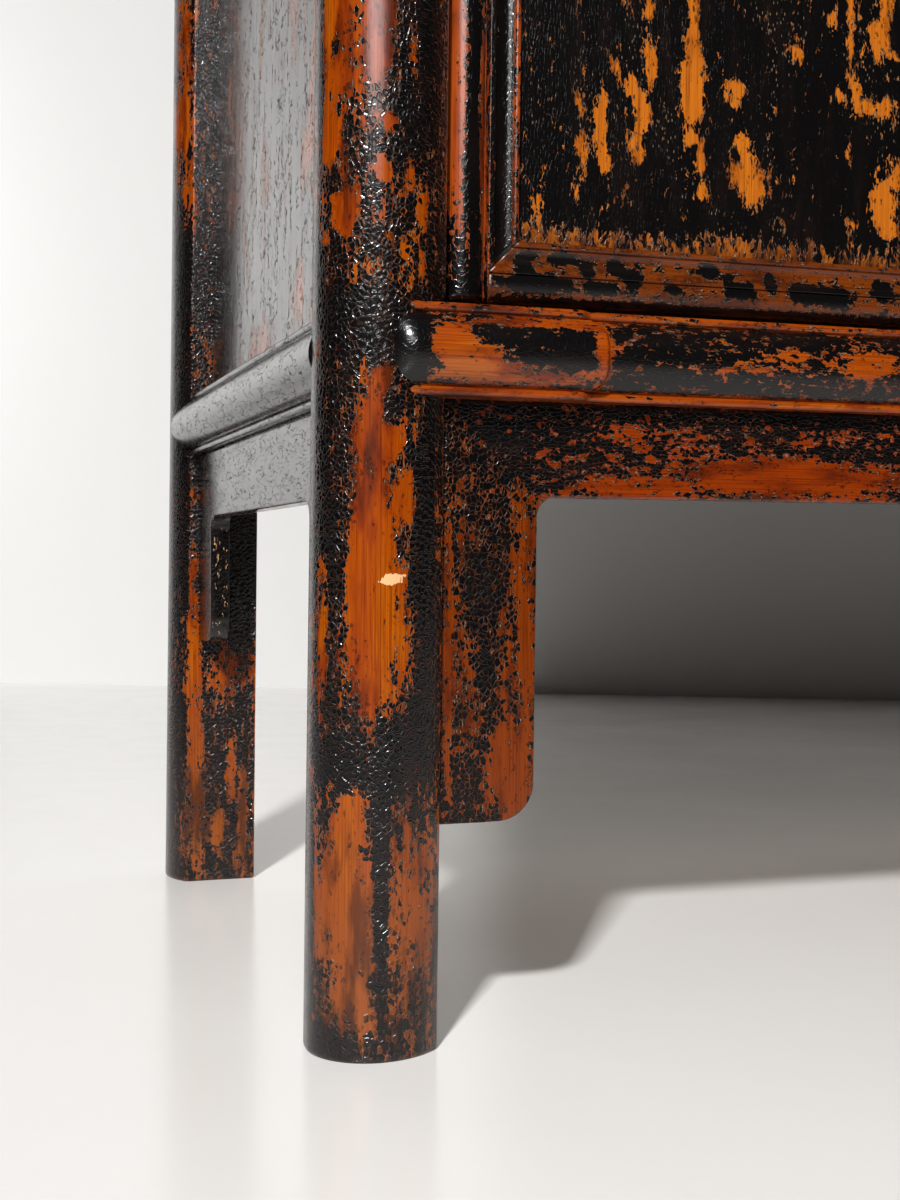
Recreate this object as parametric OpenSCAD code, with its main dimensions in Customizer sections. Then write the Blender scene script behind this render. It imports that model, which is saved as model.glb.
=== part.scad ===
// Two-door wardrobe with splayed round posts, a cushion-moulded frame and doors on wooden pivots.
// Millimetres. The origin is on the floor, midway between the feet; the front faces -Y.

/* [Overall] */
// Width over the outsides of the feet
foot_w = 1080; // [960:10:1240]
// Depth over the outsides of the feet
foot_d = 510; // [440:10:600]
// Height from the floor to the top of the cap
case_h = 1850; // [1700:10:2000]
// How far the posts lean in between the floor and the cap
lean = 16.5; // [8:0.5:30]

/* [Posts] */
// Side of a post's section at the floor
post_foot = 60; // [56:1:66]
// Side of a post's section under the cap
post_head = 57; // [50:1:60]
// Set-back of a post's edges behind its round face, at the floor
post_round = 13.4; // [10:0.2:16]
// Length of the tenon on a post's head
post_tenon = 20; // [12:1:24]
// Side of the tenon on a post's head
post_tenon_w = 26; // [18:1:30]

/* [Rails] */
// Height of the rails' undersides above the floor
rail_z = 309; // [290:1:360]
// Height of a rail
rail_h = 43; // [38:1:60]
// Depth of a rail behind the edges of the posts
rail_in = 28; // [26:1:30]
// How far the cushion of a rail stands out past the edges of the posts
rail_crown = 14; // [10:0.5:15]
// How far the beads of the front rail stand out past the edges of the posts
rail_bead = 7.5; // [5:0.5:9]
// How far the beads of a side rail stand out past the edges of the posts
side_rail_bead = 3; // [1.5:0.5:5]
// Height of a bead
bead_h = 4; // [2.5:0.5:6]
// Depth of the quirk between a bead and its cushion
quirk = 2.5; // [1:0.5:4]
// Length of a rail tenon
rail_tenon = 20; // [12:1:22]
// Thickness of a rail tenon
rail_tenon_t = 12; // [8:1:12]
// Shoulder above and below a rail tenon
rail_shoulder = 7; // [6:1:12]
// Raised block at each end of the front rail: its length
block_len = 110; // [70:1:180]
// How far the raised block laps round the post
block_wrap = 31; // [20:1:34]
// How far the raised block stands out past the rail
block_raise = 5; // [2:0.5:6]
// Length over which the raised block thins out round the post
block_end = 13; // [8:1:16]
// Length over which the raised block steps back to the rail
block_step = 4; // [2:0.5:8]
// Corner radius of the raised block at the step
block_r = 8; // [4:0.5:12]
// Radius of the pegs that lock the rail tenons
peg_r = 3; // [2:0.25:3.5]

/* [Aprons] */
// Height of an apron
apron_h = 46; // [36:1:60]
// Width of a spandrel
spandrel_w = 49; // [36:1:60]
// Thickness of the apron and spandrel boards
board_t = 13; // [11:0.5:16]
// Set-back of the boards behind the edges of the posts
board_set = 3; // [1:0.5:6]
// Height of the front spandrels' lower ends above the floor
front_toe_z = 106.5; // [80:0.5:180]
// Height of the side spandrels' lower ends above the floor
side_toe_z = 175.5; // [120:0.5:210]
// Radius of a spandrel's lower corner
toe_r = 18; // [6:1:24]
// Radius of the inner corner between apron and spandrel
apron_r = 10; // [4:1:20]
// Depth of a tongue in its groove
tongue = 5; // [3:0.5:6]
// Thickness of a tongue
tongue_t = 5; // [4:0.5:6]

/* [Doors] */
// Radius of the half-round on the pivot stile
stile_r = 10.5; // [9:0.25:11.5]
// Gap between a post and the half-round
stile_gap = 1; // [1:0.25:3]
// Set-back of the half-round's crown behind the edges of the posts
stile_set = 1.5; // [0.5:0.25:3]
// Width of the moulded band round the panel
band_w = 16; // [14:0.5:20]
// Set-back of the band's face behind the crown
band_set = 1.5; // [1:0.25:2]
// Depth of the hollow in the band
hollow_d = 2.2; // [1:0.2:2.6]
// Width of the band's outer fillet
fillet_w = 3; // [1:0.2:4]
// Width of the band's inner bead
band_bead = 3.6; // [3:0.2:5]
// Width of the meeting stile outside its band
meet_w = 31; // [28:1:40]
// Height of the door rails outside their band
door_rail_h = 14; // [10:1:24]
// Gap under a door
door_low_gap = 4; // [3:0.5:6]
// Gap over a door
door_top_gap = 3; // [2:0.5:6]
// Gap between the two doors
meet_gap = 2; // [1.5:0.25:4]
// Thickness of a door panel
panel_t = 8; // [6:0.5:8.5]
// Set-back of a door panel behind the crown
panel_set = 6; // [5.5:0.25:7]
// Depth of a panel's edge in its groove
panel_edge = 6; // [4:0.5:8]
// Radius of the pivot dowels
dowel_r = 7; // [5:0.25:7.5]
// Length of the pivot dowels
dowel_len = 20; // [12:1:24]
// Height of a batten behind a door panel
batten_h = 34; // [20:1:50]
// Thickness of a batten behind a door panel
batten_t = 8; // [5:0.5:9]
// Number of battens behind a door panel
batten_n = 3; // [2:1:4]

/* [Cap] */
// Thickness of the cap
cap_h = 38; // [34:1:46]
// Overhang of the cap past the posts
cap_over = 26; // [22:1:40]
// Width of a cap member
cap_w = 80; // [74:1:90]
// Set-back of the cap's beads behind its cushion
cap_sag = 5; // [3:0.5:7]
// Thickness of the cap panel
cap_panel_t = 14; // [12:0.5:16]
// Drop of the cap panel below the frame's top
cap_drop = 2; // [0.5:0.5:4]
// Width of a batten under the cap panel
cap_batten_w = 40; // [25:1:60]
// Distance of the cap battens from the middle
cap_batten_x = 180; // [120:5:260]
// Height of the door stop strip under the cap
stop_h = 16; // [10:1:20]
// Thickness of the door stop strip
stop_t = 12; // [8:1:16]

/* [Inside] */
// Thickness of the side panels
side_t = 10; // [8:0.5:11]
// Set-back of the side panels behind the edges of the posts
side_set = 12; // [9:0.5:12]
// Thickness of the back panels
back_t = 10; // [8:0.5:11]
// Set-back of the back panels behind the edges of the posts
back_set = 10; // [8:0.5:11]
// Thickness of the floor board
floor_t = 18; // [14:1:22]
// Height of the floor board's lip above the rails
floor_lip = 10; // [7:0.5:12]
// Thickness of a shelf
shelf_t = 18; // [14:1:24]
// Height of the lower shelf's top
shelf_low = 820; // [700:10:950]
// Height of the upper shelf's top
shelf_high = 1290; // [1150:10:1450]
// Set-back of the shelves' front edges behind the edges of the posts
shelf_set = 30; // [28:1:60]
// Height of a shelf bearer and of a back stretcher
bearer_h = 34; // [24:1:50]
// Width of a shelf bearer
bearer_w = 18; // [14:1:18]
// Length of a bearer tenon
bearer_tenon = 12; // [8:1:16]

/* [Brass] */
// Height of the middle of the face plates
plate_z = 1080; // [900:10:1200]
// Height of a face plate
plate_h = 200; // [120:5:260]
// Width of a face plate
plate_w = 24; // [18:1:25]
// Thickness of a face plate
plate_t = 1.5; // [1:0.1:2]
// Shank radius of a plate nail
nail_r = 1.2; // [0.8:0.1:1.5]
// Head radius of a plate nail
nail_head_r = 2.4; // [2:0.1:3]
// Height of the pull's pin above the middle of the plate
pull_rise = 20; // [0:1:40]
// Length of a pull below its pin
pull_len = 72; // [50:1:90]
// Largest radius of a pull
pull_r = 5.5; // [4:0.25:5.5]
// Radius of a pull's pin
pin_r = 1.6; // [1.2:0.1:2]

/* [Fits] */
// Gap at shoulders, grooves and seats
fit = 0.2; // [0.1:0.05:0.3]
// Radial play of the door dowels
dowel_play = 0.08; // [0.05:0.01:0.1]
// Radial play of pins and pegs
pin_play = 0.05; // [0.03:0.01:0.08]

/* [Hidden] */
$fn = 48;

lacquer = "#2a1a14";
worn_lacquer = "#4a2412";
red_lacquer = "#7a3216";
raw_wood = "#a8703c";
brass = "#b08d4f";

// Posts: share of the section that the edges stand back, and height to the cap
edge_share = post_round / post_foot;
post_h = case_h - cap_h;
edge_y = -foot_d / 2 + post_round;
arc_steps = 8;

// How far a tenon or tongue is sunk in its own piece, and how far a cutting form runs past
root = 4;
past = 5;

// Side of the post's section at height z
function post_size(z) = post_foot - (post_foot - post_head) * z / post_h;
// X of the left posts' inner faces at height z
function inner_x(z) = -foot_w / 2 + post_foot + lean * z / post_h;
// Y of the front posts' inner faces at height z
function inner_y(z) = edge_y + (1 - edge_share) * post_size(z);
// X of the left posts' outer edges at height z
function side_edge_x(z) = inner_x(z) - (1 - edge_share) * post_size(z);
// X of the left side panel's outer face at height z
function side_face_x(z) = side_edge_x(z) + side_set;

rail_top = rail_z + rail_h;
rail_mid = rail_z + rail_h / 2;
side_x = side_edge_x(rail_mid);
post_round_r = (0.25 + edge_share * edge_share) / (2 * edge_share);

// Heights
floor_top = rail_top + floor_lip;
floor_low = floor_top - floor_t;
door_z0 = rail_top + door_low_gap;
door_z1 = post_h - door_top_gap;

// Doors: pivot axis, back face and moulding, measured in Y from the edges of the posts
axis_y = edge_y + stile_set + stile_r;
axis_in = stile_gap + stile_r;
lean_angle = atan(lean / post_h);
door_back = edge_y + stile_set + 2 * stile_r;
stop_play = 0.5;
hollow_w = band_w - fillet_w - band_bead;
frame_low = door_rail_h + band_w;
meet_x = -meet_gap / 2;
meet_band_x = meet_x - meet_w;
meet_in_x = meet_band_x - band_w;
panel_y = edge_y + stile_set + panel_set;
face_y = edge_y + stile_set + band_set;
meet_face_y = edge_y + stile_set + 0.5;
door_tenon = 9;
door_tenon_t = 6;
door_tenon_h = 14;
door_shoulder = 5;

// X of the left door's pivot axis, of its half-round's inner side and of its stile's inner edge
function axis_x(z) = inner_x(z) + axis_in;
function stile_side_x(z) = axis_x(z) + stile_r;
function stile_in_x(z) = stile_side_x(z) + band_w;

// Back
back_y = -edge_y - back_set;
stretcher_t = 18;
back_tongue = 6;

// Cap
cap_x = -inner_x(post_h) + post_head + cap_over;
cap_y = -(edge_y - edge_share * post_head) + cap_over;
cap_low = post_h;
cap_tongue = 7;
cap_tongue_t = 7;
cap_panel_low = case_h - cap_drop - cap_panel_t;
cap_batten_t = 12;

// Brass
plate_x = meet_x - meet_w / 2 - 2;
plate_y = meet_face_y - fit;
plate_front = plate_y - plate_t;
boss_r = 7;
boss_t = 3;
lug_gap = 5.2;
lug_t = 2.2;
lug_r = 4;
pin_out = 4.8;
pin_y = plate_front - boss_t - pin_out;
pin_z = plate_z + pull_rise;
eye_play = 0.3;
eye_r = 3.8;

// Shared forms

// Box between two corners
module box_at(lo, hi) translate(lo) cube(hi - lo);

// Front-view outline (x, z) from depth y0 back to y1
module slab_y(pts, y0, y1)
    translate([0, y1, 0]) rotate([90, 0, 0]) linear_extrude(height = y1 - y0) polygon(pts);

// Side-view outline (y, z) run from x0 to x1
module run_x(pts, x0, x1)
    translate([x0, 0, 0]) rotate([90, 0, 90]) linear_extrude(height = x1 - x0) polygon(pts);

// The right-hand twin of a left-hand piece
module right() mirror([1, 0, 0]) children();

// The back twin of a front piece
module back() mirror([0, 1, 0]) children();

// A piece drawn for the front, turned to the left side by exchanging X and Y
module to_side() mirror([1, -1, 0]) children();

// Both ends of a piece that is alike left and right
module both() {
    children();
    right() children();
}

// All four corners of the case
module corners() {
    both() children();
    back() both() children();
}

// Arc from angle a to b about c, in the plane
function arc(c, r, a, b, n) =
    [for (i = [0 : n]) let (t = a + (b - a) * i / n) c + r * [cos(t), sin(t)]];

// Cushion bulging to -Y from z0 to z1, edges at y_edge and crown at y_crown
function cushion(y_edge, y_crown, z0, z1, n) =
    let (c = (z1 - z0) / 2, s = y_edge - y_crown, r = (c * c + s * s) / (2 * s), a = asin(c / r))
    [for (i = [0 : n]) let (t = -a + 2 * a * i / n)
        [y_crown + r - r * cos(t), z0 + c + r * sin(t)]];

// Bar section with a cushion between two beads: outer faces at -crown and -bead, back at y_back
function bar_section(crown, bead, y_back, h) = concat(
    [[y_back, 0]],
    cushion(-bead + bead_h / 4, -bead, 0, bead_h, 4),
    cushion(-bead + quirk, -crown, bead_h, h - bead_h, 12),
    cushion(-bead + bead_h / 4, -bead, h - bead_h, h, 4),
    [[y_back, h]]);

// Rounded rectangle as an outline
function round_rect(x0, z0, x1, z1, r) = concat(
    arc([x1 - r, z1 - r], r, 0, 90, 6), arc([x0 + r, z1 - r], r, 90, 180, 6),
    arc([x0 + r, z0 + r], r, 180, 270, 6), arc([x1 - r, z0 + r], r, 270, 360, 6));

// Posts

// Section of the front left post at height z, grown by g: two flat inner faces, a round outside
function post_ring(z, g) =
    let (s = post_size(z), r1 = post_round_r * s + g, r0 = s / 2 + g,
         x0 = inner_x(z), y0 = edge_y,
         c1 = [x0 - s / 2, y0 - edge_share * s + post_round_r * s],
         c0 = [x0 - s / 2, y0 - edge_share * s + s / 2],
         c2 = [x0 - s + post_round_r * s, c0[1]],
         a = acos((s / 2 + g) / r1))
    concat(
        [[x0 + g, inner_y(z) + g]],
        arc(c2, r1, 90 + a, 180, arc_steps),
        [for (p = arc(c0, r0, 180, 270, arc_steps + 2))
            if (p[0] > c0[0] - r0 && p[1] > c0[1] - r0) p],
        arc(c1, r1, 270, 360 - a, arc_steps));

// Solid between two level rings of the same number of points
module loft(lower, z0, upper, z1) {
    n = len(lower);
    polyhedron(
        points = concat([for (p = lower) [p[0], p[1], z0]], [for (p = upper) [p[0], p[1], z1]]),
        faces = concat(
            [[for (i = [0 : n - 1]) i], [for (i = [0 : n - 1]) 2 * n - 1 - i]],
            [for (i = [0 : n - 1]) [i, n + i, n + (i + 1) % n]],
            [for (i = [0 : n - 1]) [i, n + (i + 1) % n, (i + 1) % n]]));
}

// Room that the front left post takes, grown by g
module post_room(g, z0 = 0, z1 = post_h) loft(post_ring(z0, g), z0, post_ring(z1, g), z1);

// Square tenon on the post's head, grown by g
module post_head_tenon(g) {
    c = [inner_x(post_h) - post_head / 2, edge_y - edge_share * post_head + post_head / 2];
    w = post_tenon_w / 2;
    box_at([c[0] - w - g, c[1] - w - g, post_h - root],
           [c[0] + w + g, c[1] + w + g, post_h + post_tenon + g]);
}

// Tenon of a front or back rail in the left post, grown by g, starting y0 behind the edges
module cross_tenon(z0, z1, y0, length, thick, g)
    box_at([inner_x(z0) - length - g, y0 - g, z0 - g], [inner_x(z1) + root, y0 + thick + g, z1 + g]);

// Depth of the rail tenons behind the edges of the posts
tenon_in = 10;
module front_rail_tenon(g)
    cross_tenon(rail_z + rail_shoulder, rail_top - rail_shoulder, edge_y + tenon_in, rail_tenon,
                rail_tenon_t, g);

// Tenon of a side rail in the front left post, grown by g
module side_rail_tenon(g)
    box_at([side_x + tenon_in - g, inner_y(rail_mid) - rail_tenon - g, rail_z + rail_shoulder - g],
           [side_x + tenon_in + rail_tenon_t + g, inner_y(rail_mid) + root, rail_top - rail_shoulder + g]);

// Pegs through the two rail tenons of the front left post, one above the other
peg_set = 10;
peg_rise = 6;
peg_end = 6;
module corner_pegs(play) {
    translate([inner_x(rail_mid) - peg_set, inner_y(rail_mid), rail_mid + peg_rise])
        rotate([90, 0, 0]) cylinder(r = peg_r + play, h = inner_y(rail_mid) - edge_y - peg_end + play);
    translate([inner_x(rail_mid), inner_y(rail_mid) - peg_set, rail_mid - peg_rise])
        rotate([0, -90, 0]) cylinder(r = peg_r + play, h = inner_x(rail_mid) - side_x - peg_end + play);
}

// The left side panel, which leans with the posts, grown by g
side_edge = 6.5;
module side_panel_form(g) {
    z0 = rail_top - tongue - g;
    z1 = cap_low + tongue + g;
    y0 = edge_y + (1 - edge_share) * post_head - side_edge - g;
    slab_y([[side_face_x(z0) - g, z0], [side_face_x(z0) + side_t + g, z0],
            [side_face_x(z1) + side_t + g, z1], [side_face_x(z1) - g, z1]], y0, -y0);
}

// Bearer under a shelf's left end, grown by g, shrunk by inset; tops at z_top
module bearer_form(z_top, inset, y0, g) {
    z0 = z_top - bearer_h + inset - g;
    z1 = z_top - inset + g;
    a = side_t + fit + inset - g;
    b = side_t + fit + bearer_w - inset + g;
    slab_y([[side_face_x(z0) + a, z0], [side_face_x(z0) + b, z0],
            [side_face_x(z1) + b, z1], [side_face_x(z1) + a, z1]], y0 - g, -y0 + g);
}

bearer_inset = 4;
module bearer_tenons(z_top, g)
    bearer_form(z_top, bearer_inset, inner_y(z_top) - bearer_tenon, g);

// Spandrel outline on a face that runs as f0 + f1 * z: straight on the post, mitred to the apron
apron_z = rail_z - apron_h;
function spandrel_outline(f0, f1, toe_z) =
    let (cz = apron_z - apron_r,
         c = [f0 + f1 * cz + spandrel_w + apron_r, cz],
         toe = [f0 + f1 * (toe_z + toe_r) + spandrel_w - toe_r, toe_z + toe_r])
    concat(
        [[f0 + f1 * toe_z + fit, toe_z]],
        arc(toe, toe_r, 270, 360, 8),
        arc(c, apron_r, 180, 135, 4),
        [[f0 + f1 * rail_z + fit, rail_z - fit]]);

// Half of an apron outline, from its mitre to the middle
function apron_outline(f0, f1) =
    let (cz = apron_z - apron_r, c = [f0 + f1 * cz + spandrel_w + apron_r, cz],
         left = concat([[f0 + f1 * rail_z + 2 * fit, rail_z - fit]],
                       [for (p = arc(c, apron_r, 135, 90, 4)) p + [fit, 0]]))
    concat(left, [for (i = [len(left) - 1 : -1 : 0]) [-left[i][0], left[i][1]]]);

// Tongue of a spandrel in the post, grown by g
module spandrel_tongue(f0, f1, toe_z, y0, g) {
    z0 = toe_z + toe_r / 2 - g;
    z1 = rail_z - tongue + g;
    slab_y([[f0 + f1 * z0 - tongue - g, z0], [f0 + f1 * z0 + root, z0],
            [f0 + f1 * z1 + root, z1], [f0 + f1 * z1 - tongue - g, z1]], y0 - g, y0 + tongue_t + g);
}

// Tongue of an apron in the rail, from -x1 to x1, grown by g
module apron_tongue(x1, y0, g)
    box_at([-x1 - g, y0 - g, rail_z - root], [x1 + g, y0 + tongue_t + g, rail_z + tongue + g]);

front_f0 = inner_x(0);
front_f1 = lean / post_h;
side_f0 = inner_y(0);
side_f1 = (inner_y(post_h) - inner_y(0)) / post_h;
board_y = edge_y + board_set;
side_board_x = side_x + board_set;
tongue_in = (board_t - tongue_t) / 2;

module front_spandrel_tongue(g)
    spandrel_tongue(front_f0, front_f1, front_toe_z, board_y + tongue_in, g);

module side_spandrel_tongue(g)
    to_side() spandrel_tongue(side_f0, side_f1, side_toe_z, side_board_x + tongue_in, g);

// Cuts that the front and the back left post share
module post_cuts() {
    side_rail_tenon(fit);
    corner_pegs(pin_play);
    side_panel_form(fit);
    side_spandrel_tongue(fit);
    for (z = [shelf_low, shelf_high]) bearer_tenons(z - shelf_t, fit);
}

module post_front() difference() {
    union() {
        post_room(0);
        post_head_tenon(0);
    }
    front_rail_tenon(fit);
    front_spandrel_tongue(fit);
    post_cuts();
}

module post_back() difference() {
    back() union() {
        post_room(0);
        post_head_tenon(0);
    }
    back_rail_tenon(fit);
    back_panels_form(fit);
    for (z = [shelf_low, shelf_high]) stretcher_tenon(z - shelf_t, fit);
    back() post_cuts();
}

module post_front_left() color(worn_lacquer) post_front();
module post_front_right() color(worn_lacquer) right() post_front();
module post_back_left() color(worn_lacquer) post_back();
module post_back_right() color(worn_lacquer) right() post_back();

// Rails

// The four posts' room, for coping
module posts_room(g) corners() post_room(g, rail_z - past, rail_top + past);

// Raised block at the left end of the front rail: the rail's section moved out. It thins out round
// the post and steps back to the rail at its other end.
module end_block() {
    x0 = inner_x(rail_mid) - block_wrap;
    x1 = x0 + block_len;
    crown = rail_crown + block_raise;
    low = edge_y - rail_bead + quirk;
    intersection() {
        translate([0, edge_y, rail_z])
            run_x(bar_section(crown, rail_bead + block_raise, root, rail_h), x0, x1);
        slab_y(round_rect(x0 - block_len, rail_z, x1, rail_top, block_r),
               edge_y - crown - past, edge_y + past);
        translate([0, 0, rail_z - 1]) linear_extrude(height = rail_h + 2) polygon(concat(
            [[x1, edge_y + root], [x0, edge_y + root]],
            [for (t = [0 : 15 : 90])
                [x0 + block_end * (1 - cos(t)), low - (low - edge_y + crown) * sin(t)]],
            [for (t = [90 : -15 : 0])
                [x1 - block_step * (1 - cos(t)), low - (low - edge_y + crown) * sin(t)]]));
    }
}

// Plan of the floor and the shelves: between the panels and round the posts, grown by g
board_gap = 1;
function board_plan(z0, z1, y_front, g) =
    let (xi = inner_x(z1) + board_gap - g, xp = side_face_x(z1) + side_t + fit - g,
         yp = inner_y(z0) + board_gap - g, yb = back_y - back_t - fit + g, yf = y_front - g,
         left = [[xi, yb], [xi, -yp], [xp, -yp], [xp, yp], [xi, yp], [xi, yf]])
    concat(left, [for (i = [len(left) - 1 : -1 : 0]) [-left[i][0], left[i][1]]]);

module floor_form(g)
    translate([0, 0, floor_low]) linear_extrude(height = floor_t)
        polygon(board_plan(floor_low, floor_top, door_back + stop_play, g));

module front_rail() color(lacquer) {
    x0 = inner_x(rail_mid) - block_wrap + block_end;
    difference() {
        union() {
            difference() {
                union() {
                    translate([0, edge_y, rail_z])
                        run_x(bar_section(rail_crown, rail_bead, rail_in, rail_h), x0, -x0);
                    both() end_block();
                }
                both() post_room(fit, rail_z - past, rail_top + past);
            }
            both() front_rail_tenon(0);
        }
        floor_form(fit);
        both() pivot_bore_low();
        both() corner_pegs(pin_play);
        apron_tongue(front_tongue_x, board_y + tongue_in, fit);
    }
}

front_tongue_x = -inner_x(rail_z) - spandrel_w;
side_tongue_x = -inner_y(rail_z) - spandrel_w;

module back_rail_tenon(g) back() front_rail_tenon(g);

// Set-back of the plain back rail behind the edges of the posts
back_rail_set = 2;

module back_rail() color(raw_wood) {
    x0 = inner_x(rail_mid);
    difference() {
        union() {
            difference() {
                box_at([x0 - root, -edge_y - rail_in, rail_z],
                       [root - x0, -edge_y - back_rail_set, rail_top]);
                posts_room(fit);
            }
            both() back_rail_tenon(0);
        }
        floor_form(fit);
        back_panels_form(fit);
        back() both() corner_pegs(pin_play);
    }
}

// The side rail's ends are coped over the round posts, so its cushion laps round them in a point
module side_rail() {
    y0 = inner_y(rail_mid) - (1 - edge_share) * post_size(rail_mid) / 2;
    difference() {
        union() {
            difference() {
                to_side() translate([0, side_x, rail_z])
                    run_x(bar_section(rail_crown, side_rail_bead, rail_in, rail_h), y0, -y0);
                posts_room(fit);
            }
            side_rail_tenon(0);
            back() side_rail_tenon(0);
        }
        floor_form(fit);
        side_panel_form(fit);
        corner_pegs(pin_play);
        back() corner_pegs(pin_play);
        to_side() apron_tongue(side_tongue_x, side_board_x + tongue_in, fit);
    }
}

module side_rail_left() color(lacquer) side_rail();
module side_rail_right() color(lacquer) right() side_rail();

module rail_pegs() color(raw_wood) corners() corner_pegs(0);

// Aprons and spandrels

module apron(f0, f1, y0, tongue_x) {
    slab_y(apron_outline(f0, f1), y0, y0 + board_t);
    apron_tongue(tongue_x - 2 * fit, y0 + tongue_in, 0);
}

module spandrel(f0, f1, toe_z, y0) {
    slab_y(spandrel_outline(f0, f1, toe_z), y0, y0 + board_t);
    spandrel_tongue(f0, f1, toe_z, y0 + tongue_in, 0);
}

module front_apron() color(red_lacquer) apron(front_f0, front_f1, board_y, front_tongue_x);
module front_spandrel_left() color(red_lacquer) spandrel(front_f0, front_f1, front_toe_z, board_y);
module front_spandrel_right() color(red_lacquer) right() spandrel(front_f0, front_f1, front_toe_z, board_y);

module side_apron() to_side() apron(side_f0, side_f1, side_board_x, side_tongue_x);
module side_spandrel() to_side() spandrel(side_f0, side_f1, side_toe_z, side_board_x);

module side_apron_left() color(red_lacquer) side_apron();
module side_apron_right() color(red_lacquer) right() side_apron();
module side_spandrel_front_left() color(red_lacquer) side_spandrel();
module side_spandrel_back_left() color(red_lacquer) back() side_spandrel();
module side_spandrel_front_right() color(red_lacquer) right() side_spandrel();
module side_spandrel_back_right() color(red_lacquer) right() back() side_spandrel();

// Panels of the case

module side_panel_left() color(lacquer) side_panel_form(0);
module side_panel_right() color(lacquer) right() side_panel_form(0);

// Back panel between heights z0 and z1, its sides in the posts' grooves, grown by g
module back_panel_form(z0, z1, g) {
    a = z0 - back_tongue - g;
    b = z1 + back_tongue + g;
    x0 = inner_x(a) - back_tongue - g;
    x1 = inner_x(b) - back_tongue - g;
    slab_y([[x0, a], [-x0, a], [-x1, b], [x1, b]], back_y - back_t - g, back_y + g);
}

low_panel_top = shelf_low - shelf_t - bearer_h;
high_panel_low = shelf_low - shelf_t;
high_panel_top = shelf_high - shelf_t - bearer_h;
top_panel_low = shelf_high - shelf_t;

module back_panels_form(g) {
    back_panel_form(rail_top, low_panel_top, g);
    back_panel_form(high_panel_low, high_panel_top, g);
    back_panel_form(top_panel_low, cap_low, g);
}

module back_panel_low() color(raw_wood) back_panel_form(rail_top, low_panel_top, 0);
module back_panel_middle() color(raw_wood) back_panel_form(high_panel_low, high_panel_top, 0);
module back_panel_top() color(raw_wood) back_panel_form(top_panel_low, cap_low, 0);

// Back stretchers: how far they stand in from the panels, and the shoulders of their tenons
stretcher_out = 5;
stretcher_shoulder = 9;
stretcher_cheek = 4;
stretcher_y = back_y - back_t - stretcher_out;

// Tenon of a back stretcher whose top is at z_top, grown by g
module stretcher_tenon(z_top, g)
    cross_tenon(z_top - bearer_h + stretcher_shoulder, z_top - stretcher_shoulder,
                stretcher_y + stretcher_cheek, bearer_tenon, stretcher_t - 2 * stretcher_cheek, g);

module back_stretcher(z_top) difference() {
    union() {
        x0 = inner_x(z_top - bearer_h) + fit;
        x1 = inner_x(z_top) + fit;
        slab_y([[x0, z_top - bearer_h], [-x0, z_top - bearer_h], [-x1, z_top], [x1, z_top]],
               stretcher_y, stretcher_y + stretcher_t);
        both() stretcher_tenon(z_top, 0);
    }
    back_panels_form(fit);
}

module back_stretcher_low() color(raw_wood) back_stretcher(shelf_low - shelf_t);
module back_stretcher_high() color(raw_wood) back_stretcher(shelf_high - shelf_t);

// Floor and shelves

module floor_board() color(raw_wood) floor_form(0);

module shelf(z_top)
    translate([0, 0, z_top - shelf_t]) linear_extrude(height = shelf_t)
        polygon(board_plan(z_top - shelf_t, z_top, edge_y + shelf_set, 0));

module shelf_low_board() color(raw_wood) shelf(shelf_low);
module shelf_high_board() color(raw_wood) shelf(shelf_high);

// A pair of bearers, tenoned into the front and back posts
module bearers(z_top) both() {
    bearer_form(z_top, 0, inner_y(z_top - bearer_h) + fit, 0);
    bearer_tenons(z_top, 0);
}

module shelf_bearers_low() color(raw_wood) bearers(shelf_low - shelf_t);
module shelf_bearers_high() color(raw_wood) bearers(shelf_high - shelf_t);

// Cap

// Cap member along X, its outer side at -half_y, mitred at both ends
module cap_member(half_x, half_y) intersection() {
    translate([0, 0, cap_low])
        run_x(bar_section(half_y, half_y - cap_sag, -(half_y - cap_w), cap_h), -half_x, half_x);
    translate([0, 0, cap_low - past]) linear_extrude(height = cap_h + 2 * past)
        polygon([[-half_x, -half_y], [half_x, -half_y],
                 [half_x - cap_w, cap_w - half_y], [cap_w - half_x, cap_w - half_y]]);
}

// Tongue of the cap panel, grown by g
module cap_tongue_form(g) {
    x = cap_x - cap_w + cap_tongue + g;
    y = cap_y - cap_w + cap_tongue + g;
    box_at([-x, -y, cap_panel_low - g], [x, y, cap_panel_low + cap_tongue_t + g]);
}

module cap_panel() color(lacquer) {
    x = cap_x - cap_w - fit;
    y = cap_y - cap_w - fit;
    cap_tongue_form(0);
    box_at([-x, -y, cap_panel_low], [x, y, cap_panel_low + cap_panel_t]);
}

// Battens under the cap panel; grown by g they cut their own seats
module cap_batten_form(length, thick, g)
    both() box_at([cap_batten_x - cap_batten_w / 2 - g, -length - g, cap_panel_low - fit - thick - g],
                  [cap_batten_x + cap_batten_w / 2 + g, length + g, cap_panel_low - fit]);

cap_batten_tenon = 10;
cap_batten_cheek = 4;
module cap_batten_tenons(g)
    cap_batten_form(cap_y - cap_w + cap_batten_tenon, cap_batten_t - cap_batten_cheek, g);

module cap_battens() color(raw_wood) {
    cap_batten_form(cap_y - cap_w - fit, cap_batten_t, 0);
    cap_batten_tenons(0);
}

module cap_cuts() {
    corners() post_head_tenon(fit);
    cap_tongue_form(fit);
    cap_batten_tenons(fit);
}

module cap_front() color(lacquer) difference() {
    cap_member(cap_x, cap_y);
    cap_cuts();
    both() pivot_bore_top();
}

module cap_back() color(lacquer) difference() {
    back() cap_member(cap_x, cap_y);
    cap_cuts();
    back_panels_form(fit);
}

module cap_side() difference() {
    to_side() cap_member(cap_y, cap_x);
    cap_cuts();
    side_panel_form(fit);
}

module cap_side_left() color(lacquer) cap_side();
module cap_side_right() color(lacquer) right() cap_side();

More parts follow.
